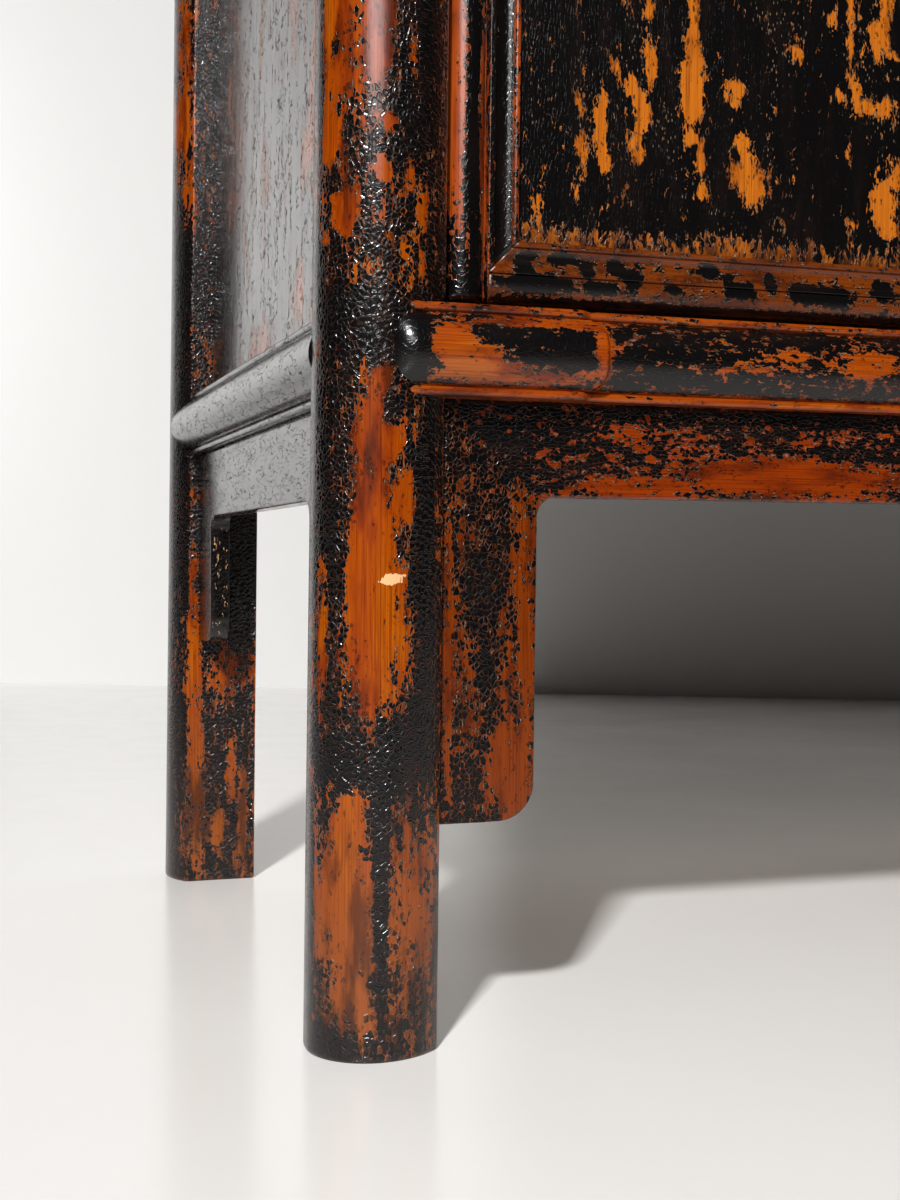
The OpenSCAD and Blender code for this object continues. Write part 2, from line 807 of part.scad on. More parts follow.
module door_stop() color(raw_wood) {
    x = -inner_x(post_h) - board_gap;
    y = door_back + stop_play;
    box_at([-x, y, post_h - stop_h - fit], [x, y + stop_t, post_h - fit]);
}

// Doors, drawn for the left one

// Children stand along the pivot axis, their own origin where it meets the floor
module on_axis() translate([axis_x(0), axis_y, 0]) rotate([0, lean_angle, 0]) children();

// Level slab that cuts a leaning piece between two heights
module between(z0, z1) intersection() {
    children();
    box_at([-foot_w, -foot_d, z0], [foot_w, foot_d, z1]);
}

module pivot_bore_low() on_axis()
    translate([0, 0, rail_top - dowel_len]) cylinder(r = dowel_r + dowel_play, h = dowel_len + past);

module pivot_bore_top() on_axis()
    translate([0, 0, cap_low - past]) cylinder(r = dowel_r + dowel_play, h = dowel_len + past);

// Moulded band: fillet, hollow and bead, from its outer side (0) to the panel (band_w), face at 0
hollow_slope = 0.4;
bead_set = 0.3;
band_pts = [[0, 0], [fillet_w, 0], [fillet_w + hollow_slope, hollow_d],
            [fillet_w + hollow_w - hollow_slope, hollow_d],
            [fillet_w + hollow_w, bead_set], [band_w, bead_set]];

// Pivot stile: a half-round on the axis, a quirk and the band
quirk_angle = -24;
module pivot_stile_form() on_axis() {
    face = -stile_r + band_set;
    cylinder(r = stile_r, h = case_h);
    linear_extrude(height = case_h) polygon(concat(
        [[0, stile_r], [0, 0], stile_r * [cos(quirk_angle), sin(quirk_angle)]],
        [for (p = band_pts) [stile_r + p[0], face + p[1]]],
        [[stile_r + band_w, stile_r]]));
}

// Front-view region of the pivot stile, mitred to the door rails across the band
function stile_region() =
    let (a = door_z0 + door_rail_h, b = a + band_w, c = door_z1 - door_rail_h, d = c - band_w)
    [[-foot_w / 2, door_z0], [stile_side_x(door_z0), door_z0], [stile_side_x(a), a],
     [stile_in_x(b), b], [stile_in_x(b) + past, b], [stile_in_x(d) + past, d],
     [stile_in_x(d), d], [stile_side_x(c), c], [stile_side_x(door_z1), door_z1],
     [-foot_w / 2, door_z1]];

// Front-view region of the bottom door rail
function low_rail_region() =
    let (a = door_z0 + door_rail_h, b = a + band_w)
    [[stile_side_x(door_z0) + fit, door_z0], [stile_side_x(a) + fit, a], [stile_in_x(b) + fit, b],
     [meet_in_x - fit, b], [meet_band_x - fit, a], [meet_band_x - fit, door_z0]];

function top_rail_region() =
    let (a = door_z1 - door_rail_h, b = a - band_w)
    [[stile_side_x(door_z1) + fit, door_z1], [stile_side_x(a) + fit, a], [stile_in_x(b) + fit, b],
     [meet_in_x - fit, b], [meet_band_x - fit, a], [meet_band_x - fit, door_z1]];

// Panel of the left door in the frame's grooves, grown by g
module door_panel_form(g) {
    z0 = door_z0 + frame_low - panel_edge - g;
    z1 = door_z1 - frame_low + panel_edge + g;
    x1 = meet_in_x + panel_edge + g;
    slab_y([[stile_in_x(z0) - panel_edge - g, z0], [x1, z0], [x1, z1],
            [stile_in_x(z1) - panel_edge - g, z1]], panel_y - g, panel_y + panel_t + g);
}

// Tenons of the door rails, grown by g
module door_tenons(g) for (z = [door_z0 + door_shoulder, door_z1 - door_shoulder - door_tenon_h]) {
    y0 = axis_y - door_tenon_t / 2;
    box_at([stile_side_x(z) - door_tenon - g, y0 - g, z - g],
           [stile_side_x(z) + root, y0 + door_tenon_t + g, z + door_tenon_h + g]);
    box_at([meet_band_x - root, y0 - g, z - g],
           [meet_band_x + 2 * door_tenon + g, y0 + door_tenon_t + g, z + door_tenon_h + g]);
}

module pivot_stile() {
    difference() {
        intersection() {
            pivot_stile_form();
            slab_y(stile_region(), edge_y - past, door_back + past);
        }
        door_panel_form(fit);
        door_tenons(fit);
    }
    low = rail_top - dowel_len + fit;
    high = cap_low + dowel_len - fit;
    on_axis() {
        translate([0, 0, low]) cylinder(r = dowel_r, h = door_z0 + root - low);
        translate([0, 0, door_z1 - root]) cylinder(r = dowel_r, h = high - door_z1 + root);
    }
}

// Meeting stile: flat face with a rounded meeting edge, then the band
meet_r = 4;
meet_quirk_w = 1.4;
meet_quirk_d = 3;
module meeting_stile_form()
    translate([0, 0, door_z0]) linear_extrude(height = door_z1 - door_z0) polygon(concat(
        [[meet_in_x, door_back], [meet_x, door_back]],
        arc([meet_x - meet_r, meet_face_y + meet_r], meet_r, 0, -90, 5),
        [[meet_band_x + meet_quirk_w, meet_face_y],
         [meet_band_x + meet_quirk_w / 2, meet_face_y + meet_quirk_d]],
        [for (p = band_pts) [meet_band_x - p[0], face_y + p[1]]]));

function meeting_region() =
    let (a = door_z0 + door_rail_h, b = a + band_w, c = door_z1 - door_rail_h, d = c - band_w)
    [[meet_x + past, door_z0], [meet_band_x, door_z0], [meet_band_x, a], [meet_in_x, b],
     [meet_in_x - past, b], [meet_in_x - past, d], [meet_in_x, d], [meet_band_x, c],
     [meet_band_x, door_z1], [meet_x + past, door_z1]];

module meeting_stile() difference() {
    intersection() {
        meeting_stile_form();
        slab_y(meeting_region(), edge_y - past, door_back + past);
    }
    door_panel_form(fit);
    door_tenons(fit);
    plate_nail_shanks(pin_play);
}

// Section of a door rail (y, z) from its outer edge: a rounded outer band, then the moulded band
low_round_y = 7;
low_fillet = 0.6;
function door_rail_section() = concat(
    [[door_back, 0]],
    [for (t = [0 : 15 : 90])
        [meet_face_y + low_round_y * (1 - sin(t)), (door_rail_h - low_fillet) * (1 - cos(t))]],
    [for (p = band_pts) [face_y + p[1], door_rail_h + p[0]]],
    [[door_back, frame_low]]);

module door_rail_run(z0, up) translate([0, 0, z0])
    mirror([0, 0, up]) run_x(door_rail_section(), inner_x(0), 0);

module door_bottom_rail() difference() {
    union() {
        intersection() {
            door_rail_run(door_z0, 0);
            slab_y(low_rail_region(), edge_y - past, door_back + past);
        }
        between(door_z0, door_z0 + frame_low) door_tenons(0);
    }
    door_panel_form(fit);
}

module door_top_rail() difference() {
    union() {
        intersection() {
            door_rail_run(door_z1, 1);
            slab_y(top_rail_region(), edge_y - past, door_back + past);
        }
        between(door_z1 - frame_low, door_z1) door_tenons(0);
    }
    door_panel_form(fit);
}

// Battens across the back of the panel, evenly spaced
module door_battens() {
    step = (door_z1 - door_z0 - 2 * frame_low) / (batten_n + 1);
    y0 = panel_y + panel_t + fit;
    for (i = [1 : batten_n]) {
        z0 = door_z0 + frame_low + step * i - batten_h / 2;
        z1 = z0 + batten_h;
        slab_y([[stile_in_x(z0) + fit, z0], [meet_in_x - fit, z0], [meet_in_x - fit, z1],
                [stile_in_x(z1) + fit, z1]], y0, y0 + batten_t);
    }
}

// Brass

plate_r = 6;
nail_in = 6;
nail_shank = 8;
nail_dome = 1.2;

// Children at each nail of the left plate
module at_nails() for (x = [-1, 1], z = [-1, 1])
    translate([plate_x + x * (plate_w / 2 - nail_in), plate_front, plate_z + z * (plate_h / 2 - nail_in)])
        children();

module plate_nail_shanks(play) at_nails()
    rotate([-90, 0, 0]) cylinder(r = nail_r + play, h = nail_shank + play, $fn = 24);

module face_plate() difference() {
    slab_y(round_rect(plate_x - plate_w / 2, plate_z - plate_h / 2,
                      plate_x + plate_w / 2, plate_z + plate_h / 2, plate_r), plate_front, plate_y);
    plate_nail_shanks(pin_play);
}

// Domed heads with shanks through the plate into the stile
module plate_nails() {
    r = (nail_head_r * nail_head_r + nail_dome * nail_dome) / (2 * nail_dome);
    plate_nail_shanks(0);
    at_nails() intersection() {
        translate([0, r - nail_dome, 0]) sphere(r = r, $fn = 32);
        rotate([90, 0, 0]) cylinder(r = nail_head_r, h = 2 * nail_dome, $fn = 24);
    }
}

// Round boss with two lugs that hold the pull's pin
module pull_bracket() translate([plate_x, 0, pin_z]) {
    translate([0, plate_front - fit, 0]) rotate([90, 0, 0]) cylinder(r = boss_r, h = boss_t - fit);
    for (s = [-1, 1]) translate([s * (lug_gap + lug_t) / 2, 0, 0]) {
        translate([-lug_t / 2, pin_y, 0]) rotate([0, 90, 0]) cylinder(r = lug_r, h = lug_t);
        box_at([-lug_t / 2, pin_y, -lug_r], [lug_t / 2, plate_front - boss_t + boss_t / 4, lug_r]);
    }
    translate([-lug_gap / 2 - lug_t, pin_y, 0]) rotate([0, 90, 0])
        cylinder(r = pin_r, h = lug_gap + 2 * lug_t);
}

// Pull: an eye on the pin, a neck and a pear-shaped drop with a small tip
module pull() translate([plate_x, pin_y, pin_z]) difference() {
    union() {
        w = lug_gap - 2 * eye_play;
        translate([-w / 2, 0, 0]) rotate([0, 90, 0]) cylinder(r = eye_r, h = w);
        rotate_extrude() polygon([[0, -pull_len], [1.2, -pull_len], [2.4, -pull_len + 2],
            [1.4, -pull_len + 4], [0.75 * pull_r, -0.86 * pull_len], [pull_r, -0.74 * pull_len],
            [0.93 * pull_r, -0.64 * pull_len], [0.55 * pull_r, -0.46 * pull_len],
            [1.9, -0.25 * pull_len], [1.7, -eye_r - 2], [2.2, -eye_r + 0.6], [0, -eye_r + 0.6]]);
    }
    translate([-lug_gap, 0, 0]) rotate([0, 90, 0]) cylinder(r = pin_r + pin_play, h = 2 * lug_gap);
}

module left_pivot_stile() color(red_lacquer) pivot_stile();
module left_meeting_stile() color(lacquer) meeting_stile();
module left_door_top_rail() color(lacquer) door_top_rail();
module left_door_bottom_rail() color(red_lacquer) door_bottom_rail();
module left_door_panel() color(lacquer) door_panel_form(0);
module left_door_battens() color(raw_wood) door_battens();
module left_face_plate() color(brass) face_plate();
module left_plate_nails() color(brass) plate_nails();
module left_pull_bracket() color(brass) pull_bracket();
module left_pull() color(brass) pull();

module right_pivot_stile() color(red_lacquer) right() pivot_stile();
module right_meeting_stile() color(lacquer) right() meeting_stile();
module right_door_top_rail() color(lacquer) right() door_top_rail();
module right_door_bottom_rail() color(red_lacquer) right() door_bottom_rail();
module right_door_panel() color(lacquer) right() door_panel_form(0);
module right_door_battens() color(raw_wood) right() door_battens();
module right_face_plate() color(brass) right() face_plate();
module right_plate_nails() color(brass) right() plate_nails();
module right_pull_bracket() color(brass) right() pull_bracket();
module right_pull() color(brass) right() pull();

post_front_left();
post_front_right();
post_back_left();
post_back_right();
front_rail();
back_rail();
side_rail_left();
side_rail_right();
rail_pegs();
front_apron();
front_spandrel_left();
front_spandrel_right();
side_apron_left();
side_apron_right();
side_spandrel_front_left();
side_spandrel_back_left();
side_spandrel_front_right();
side_spandrel_back_right();
side_panel_left();
side_panel_right();
back_panel_low();
back_panel_middle();
back_panel_top();
back_stretcher_low();
back_stretcher_high();
floor_board();
shelf_low_board();
shelf_high_board();
shelf_bearers_low();
shelf_bearers_high();
cap_front();
cap_back();
cap_side_left();
cap_side_right();
cap_panel();
cap_battens();
door_stop();
left_pivot_stile();
left_meeting_stile();
left_door_top_rail();
left_door_bottom_rail();
left_door_panel();
left_door_battens();
left_face_plate();
left_plate_nails();
left_pull_bracket();
left_pull();
right_pivot_stile();
right_meeting_stile();
right_door_top_rail();
right_door_bottom_rail();
right_door_panel();
right_door_battens();
right_face_plate();
right_plate_nails();
right_pull_bracket();
right_pull();
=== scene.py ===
"""Two-door wardrobe with splayed round posts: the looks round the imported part.

Sizes are in millimetres, as in the part's source, and are turned to metres when a mesh is made.
A piece is drawn for the front or the left and mirrored for its twins.
"""
import math
import bpy
import numpy as np
from mathutils import Matrix, Vector


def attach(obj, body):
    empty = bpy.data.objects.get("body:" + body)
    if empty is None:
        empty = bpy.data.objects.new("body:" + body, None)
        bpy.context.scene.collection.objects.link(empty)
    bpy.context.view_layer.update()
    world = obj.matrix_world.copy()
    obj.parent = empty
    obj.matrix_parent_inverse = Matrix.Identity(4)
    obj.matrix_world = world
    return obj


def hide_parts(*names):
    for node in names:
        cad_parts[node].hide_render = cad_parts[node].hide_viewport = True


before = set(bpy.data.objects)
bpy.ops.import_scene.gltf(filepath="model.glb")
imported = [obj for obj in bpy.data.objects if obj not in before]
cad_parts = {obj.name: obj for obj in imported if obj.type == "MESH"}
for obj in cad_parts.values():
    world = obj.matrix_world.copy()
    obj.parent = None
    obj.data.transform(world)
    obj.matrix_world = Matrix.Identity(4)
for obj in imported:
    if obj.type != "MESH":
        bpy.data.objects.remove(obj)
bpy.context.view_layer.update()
scene = bpy.context.scene
scene.view_settings.view_transform = "Standard"

# ---------------- sizes of the part
FOOT_W, FOOT_D, CASE_H, LEAN = 1080, 510, 1850, 16.5
POST_FOOT, POST_HEAD, POST_ROUND = 60, 57, 13.4
RAIL_Z, RAIL_H, RAIL_IN, CROWN, BEAD, SIDE_BEAD, BEAD_H, QUIRK = 309, 43, 28, 14, 7.5, 3, 4, 2.5
BLOCK_LEN, BLOCK_WRAP, BLOCK_RAISE, BLOCK_END, BLOCK_STEP, BLOCK_R = 110, 31, 5, 13, 4, 9
APRON_H, SPANDREL_W, BOARD_T, BOARD_SET = 46, 49, 13, 3
FRONT_TOE, SIDE_TOE, TOE_R, APRON_R = 106.5, 175.5, 18, 10
STILE_R, STILE_GAP, STILE_SET, BAND_W, BAND_SET = 10.5, 1, 1.5, 16, 1.5
HOLLOW_D, FILLET_W, BAND_BEAD, MEET_W, DOOR_RAIL_H = 2.2, 3, 3.6, 31, 14
PANEL_T, PANEL_SET, PANEL_EDGE, SIDE_T, SIDE_SET = 8, 6, 6, 10, 12
CAP_H, CAP_OVER, CAP_W, CAP_SAG = 38, 26, 80, 5
PLATE_Z, PLATE_T, BOSS_T, PIN_OUT, PULL_RISE, PULL_LEN, PULL_R = 1080, 1.5, 3, 4.8, 20, 72, 5.5
MEET_SET, FIT = 0.5, 0.2
# heights of the ripples
POST_RIPPLE, RAIL_RIPPLE, BOARD_RIPPLE, SIDE_RIPPLE, PANEL_RIPPLE = 0.22, 0.12, 0.10, 0.3, 0.22

SHARE = POST_ROUND / POST_FOOT
SIDE_SHARE = SHARE * 0.77
POST_H = CASE_H - CAP_H
EDGE_Y = -FOOT_D / 2 + POST_ROUND
RAIL_TOP = RAIL_Z + RAIL_H
RAIL_MID = RAIL_Z + RAIL_H / 2
DOOR_Z0, DOOR_Z1 = RAIL_TOP + 4, POST_H - 3
CROWN_Y = EDGE_Y + STILE_SET
MEET_X = -1
MEET_BAND_X = MEET_X - MEET_W
MEET_IN_X = MEET_BAND_X - BAND_W
PLATE_X = MEET_X - MEET_W / 2 - 2
PIN_Y, PIN_Z = CROWN_Y + MEET_SET - FIT - PLATE_T - BOSS_T - PIN_OUT, PLATE_Z + PULL_RISE
PANEL_Y = CROWN_Y + PANEL_SET


def post_size(z):
    """Side of the post's section at height z: it shrinks evenly from foot to head."""
    return POST_FOOT - (POST_FOOT - POST_HEAD) * z / POST_H


def inner_x(z):
    """X of the left posts' inner faces at height z: it leans in evenly."""
    return -FOOT_W / 2 + POST_FOOT + LEAN * z / POST_H


def inner_y(z):
    """Y of the front posts' inner faces at height z."""
    return EDGE_Y + (1 - SHARE) * post_size(z)


def side_face_x(z):
    """X of the left side panel's outer face at height z."""
    return inner_x(z) - (1 - SHARE) * post_size(z) + SIDE_SET


def axis_x(z):
    """X of the left door's pivot axis at height z."""
    return inner_x(z) + STILE_GAP + STILE_R


SIDE_X = inner_x(RAIL_MID) - (1 - SHARE) * post_size(RAIL_MID)


# ---------------- curves as arrays
def arc(cx, cy, r, a, b, n):
    """Points c + r (cos t, sin t) for t from a to b degrees."""
    t = np.radians(np.linspace(a, b, n))
    return np.stack([cx + r * np.cos(t), cy + r * np.sin(t)], 1)


def join(*parts):
    """The parts' points, one part after the other."""
    return np.concatenate([np.asarray(p, float).reshape(-1, 2) for p in parts])


def grid(x, y, z):
    """Rings (stations, points, 3) from three arrays that widen to one another."""
    return np.stack(np.broadcast_arrays(x, y, z), -1)


def along(points, closed):
    """Distance run along a line of points, with the closing stretch if it is closed."""
    p = np.vstack([points, points[:1]]) if closed else points
    return p, np.concatenate([[0], np.cumsum(np.linalg.norm(np.diff(p, axis=0), axis=1))])


def soften(points, radius, count, closed=True, pull=4.0):
    """A line resampled at even steps, averaged over a window of the given radius so that its corners get
    that rounding, then thinned to count points that stand closer where it turns.
    Returns the points and how sharply the line turns at each (0 flat, 1 sharpest)."""
    p, s = along(np.asarray(points, float), closed)
    n = max(int(s[-1] / (radius / 4)), 3 * count)
    u = np.linspace(0, s[-1], n, endpoint=not closed)
    q = np.stack([np.interp(u, s, p[:, k]) for k in range(2)], 1)
    w = max(int(round(radius / (s[-1] / n))), 1)
    kernel = np.hanning(2 * w + 3)[1:-1]
    kernel /= kernel.sum()
    if closed:
        wide = np.vstack([q[-w:], q, q[:w]])
    else:
        wide = np.vstack([2 * q[:1] - q[w:0:-1], q, 2 * q[-1:] - q[-2:-w - 2:-1]])
    q = np.stack([np.convolve(wide[:, k], kernel, "valid") for k in range(2)], 1)
    d = np.roll(q, -1, 0) - q if closed else np.gradient(q, axis=0)
    turn = np.unwrap(np.arctan2(d[:, 1], d[:, 0]))
    bend = np.abs(np.angle(np.exp(1j * (np.roll(turn, -1) - turn))) if closed else np.gradient(turn))
    bend = np.convolve(np.concatenate([bend[-w:], bend, bend[:w]]), np.ones(2 * w + 1) / (2 * w + 1), "valid")
    bend = bend / max(bend.max(), 1e-9)
    weight = np.concatenate([[0], np.cumsum(1 + pull * bend)])
    if closed:
        q, bend = np.vstack([q, q[:1]]), np.concatenate([bend, bend[:1]])
    else:
        weight = weight[:-1]
    index = np.arange(len(q))
    pick = np.interp(np.linspace(0, weight[-1], count, endpoint=not closed), weight, index)
    return np.stack([np.interp(pick, index, q[:, k]) for k in range(2)], 1), np.interp(pick, index, bend)


def cushion(y_edge, y_crown, z0, z1, n):
    """Arc that bulges to -Y from z0 to z1, its ends at y_edge and its crown at y_crown."""
    c, s = (z1 - z0) / 2, y_edge - y_crown
    r = (c * c + s * s) / (2 * s)
    a = math.asin(c / r)
    t = np.linspace(-a, a, n)
    return np.stack([y_crown + r - r * np.cos(t), z0 + c + r * np.sin(t)], 1)


def bar_section(crown, bead, y_back, h):
    """Section (y, z) of a rail: a cushion between two beads, flat behind."""
    return join([[y_back, 0]], cushion(-bead + BEAD_H / 4, -bead, 0, BEAD_H, 12),
                cushion(-bead + QUIRK, -crown, BEAD_H, h - BEAD_H, 60),
                cushion(-bead + BEAD_H / 4, -bead, h - BEAD_H, h, 12), [[y_back, h]])


def ripple(s, t, size, seed):
    """Slow unevenness of hand-worked wood: the sum of five slanted sine waves with fixed random phases."""
    rng = np.random.default_rng(seed)
    total = 0
    for k in range(5):
        a, b, c = rng.uniform(0.4, 1.6, 3)
        total = total + np.sin(s * a / size + t * b / size + 6.28 * c * (k + 1)) / 5
    return total


# ---------------- finishes
X, Y, Z = 0, 1, 2


class Recipe:
    """One material's node tree. Patterns run on Object coordinates in mm; grain is the axis of the fibres."""

    def __init__(self, name, grain=Z):
        self.grain = grain
        self.mat = bpy.data.materials.new(name)
        self.mat.use_nodes = True
        self.tree = self.mat.node_tree
        self.shader = self.tree.nodes["Principled BSDF"]
        self.mm = self.vec("SCALE", self.node("ShaderNodeTexCoord").outputs["Object"], scale=1000.0)

    def put(self, socket, value):
        """Links the socket to another one, or sets its value."""
        if isinstance(value, bpy.types.NodeSocket):
            self.tree.links.new(value, socket)
        else:
            socket.default_value = value

    def look(self, name, value):
        self.put(self.shader.inputs[name], value)

    def node(self, kind, inputs=None, **settings):
        """New node with its settings and inputs, given by name or place; None leaves one as it is."""
        n = self.tree.nodes.new(kind)
        for key, value in settings.items():
            setattr(n, key, value)
        for key, value in (inputs or {}).items():
            if value is not None:
                self.put(n.inputs[key], value)
        return n

    def vec(self, operation, a, b=None, scale=None):
        return self.node("ShaderNodeVectorMath", {0: a, 1: b, "Scale": scale}, operation=operation).outputs[0]

    def math(self, operation, a, b=0.0, c=0.0):
        return self.node("ShaderNodeMath", {0: a, 1: b, 2: c}, operation=operation).outputs[0]

    def times(self, a, b):
        return self.math("MULTIPLY", a, b)

    def times_plus(self, a, b, c):
        return self.math("MULTIPLY_ADD", a, b, c)

    def stretched(self, across, length, where=None):
        """Coordinates squeezed so that a pattern is across mm wide and length mm long, along the grain."""
        scales = tuple(1 / length if axis == self.grain else 1 / across for axis in range(3))
        return self.vec("MULTIPLY", self.mm if where is None else where, scales)

    def noise(self, where, detail, rough, out=0, distort=0.0):
        inputs = {"Vector": where, "Scale": 1.0, "Detail": detail, "Roughness": rough, "Distortion": distort}
        return self.node("ShaderNodeTexNoise", inputs).outputs[out]

    def grain_noise(self, across, length, detail, rough, where=None, distort=0.0):
        return self.noise(self.stretched(across, length, where), detail, rough, distort=distort)

    def cells(self, where, feature="F1", out="Color"):
        return self.node("ShaderNodeTexVoronoi", {"Vector": where, "Scale": 1.0}, feature=feature).outputs[out]

    def step(self, value, low, high, to_low=0.0, to_high=1.0):
        """Smooth step of the value from to_low at low to to_high at high."""
        inputs = {"Value": value, "From Min": low, "From Max": high, "To Min": to_low, "To Max": to_high}
        return self.node("ShaderNodeMapRange", inputs, interpolation_type="SMOOTHSTEP").outputs["Result"]

    def mix(self, factor, a, b):
        a, b = ((*colour, 1.0) if isinstance(colour, tuple) else colour for colour in (a, b))
        return self.node("ShaderNodeMix", {0: factor, 6: a, 7: b}, data_type="RGBA").outputs[2]

    def attribute(self, name):
        return self.node("ShaderNodeAttribute", attribute_name=name).outputs["Fac"]

    def bump(self, height, strength):
        bump = self.node("ShaderNodeBump", {"Strength": strength, "Distance": 0.001, "Height": height})
        self.look("Normal", bump.outputs[0])


BLACK, BROWN_BLACK = (0.0024, 0.0020, 0.0020), (0.011, 0.0048, 0.0032)
CRACK_BLACK, CRACK_BROWN = (0.003, 0.0022, 0.002), (0.10, 0.022, 0.003)
ORANGE, DEEP_ORANGE, BURNT = (0.30, 0.052, 0.0010), (0.18, 0.020, 0.0008), (0.022, 0.0040, 0.0009)
AMBER, TAN, RUBBED = (0.37, 0.085, 0.0016), (0.46, 0.125, 0.008), (0.20, 0.052, 0.006)
# The second colour here is that of pale pinholes, and also a painted highlight along flaked edges.
# The third colour is bare pale wood, and along the arrises also a painted highlight.
RED_BROWN, PALE_SPECK_AND_RIM_GLINT, RAW_WOOD_AND_ARRIS_HIGHLIGHT = (0.15, 0.018, 0.003), (0.40, 0.27, 0.17), (0.72, 0.42, 0.20)
FLAKES, FINE = 1.9, 0.36


def smoked_timber(r, wood, deep, worn, wide, lines, tone, rub):
    """Bare softwood: growth lines and slow clouds of tone over its two colours, burnt where stains lie, smoked
    towards the lacquer's edge (where worn is just above zero) and dulled where rub is high."""
    stain = r.grain_noise(2.4, 6, 4.0, 0.7)
    timber = r.mix(r.step(wide, 0.50, 0.64, 0.0, 0.8), wood, AMBER) if wood is ORANGE else wood
    timber = r.mix(r.step(lines, 0.36, 0.60, 0.25, 1.0), deep, timber)
    smoke_end = r.step(tone, 0.38, 0.56, 0.06, 0.42)
    for pattern, low, high, at_low, at_high, shade in (
            (tone, 0.46, 0.62, 0.0, 0.85, deep), (tone, 0.55, 0.72, 0.0, 0.7, BURNT),
            (lines, 0.31, 0.38, 0.55, 0.0, BURNT), (stain, 0.60, 0.68, 0.0, 0.85, BURNT),
            (worn, 0.0, smoke_end, 0.85, 0.0, BURNT)):
        timber = r.mix(r.step(pattern, low, high, at_low, at_high), timber, shade)
    timber = r.mix(r.times(rub, 0.7), timber, RUBBED)
    return r.mix(r.times(rub, r.step(tone, 0.40, 0.6, 0.0, 0.8)), timber, BURNT)


def black_coat(r, field, edge, own, wide, tone, red, veins, specks):
    """Lacquer: black clouded with brown black. Its red ground shows in patches, the more the higher red is. Its
    cracks are black, or brown towards the worn zone by the share veins. Specks are pale pinholes."""
    coat = r.mix(r.step(tone, 0.45, 0.8, 0.0, 0.6), BLACK, BROWN_BLACK)
    ground = r.times_plus(r.grain_noise(7, 14, 5.0, 0.62), 1.5, red - 1.35)
    ground = r.times_plus(own, 0.35, ground)
    ground = r.times_plus(r.math("MAXIMUM", field, -0.5), 0.4, ground)
    coat = r.mix(r.step(ground, -0.02, 0.03), coat, RED_BROWN)
    vein = r.mix(r.step(field, -0.60, -0.20, 0.0, veins), CRACK_BLACK, CRACK_BROWN) if veins else CRACK_BLACK
    coat = r.mix(r.step(edge, 0.0, 0.08, 0.85, 0.0), coat, vein)
    if specks:
        dots = r.cells(r.stretched(1.2, 5.0), "F1", "Distance")
        dots = r.times(r.step(dots, 0.06, 0.22, specks, 0.0), r.step(wide, 0.52, 0.60))
        coat = r.mix(dots, coat, PALE_SPECK_AND_RIM_GLINT)
    return coat


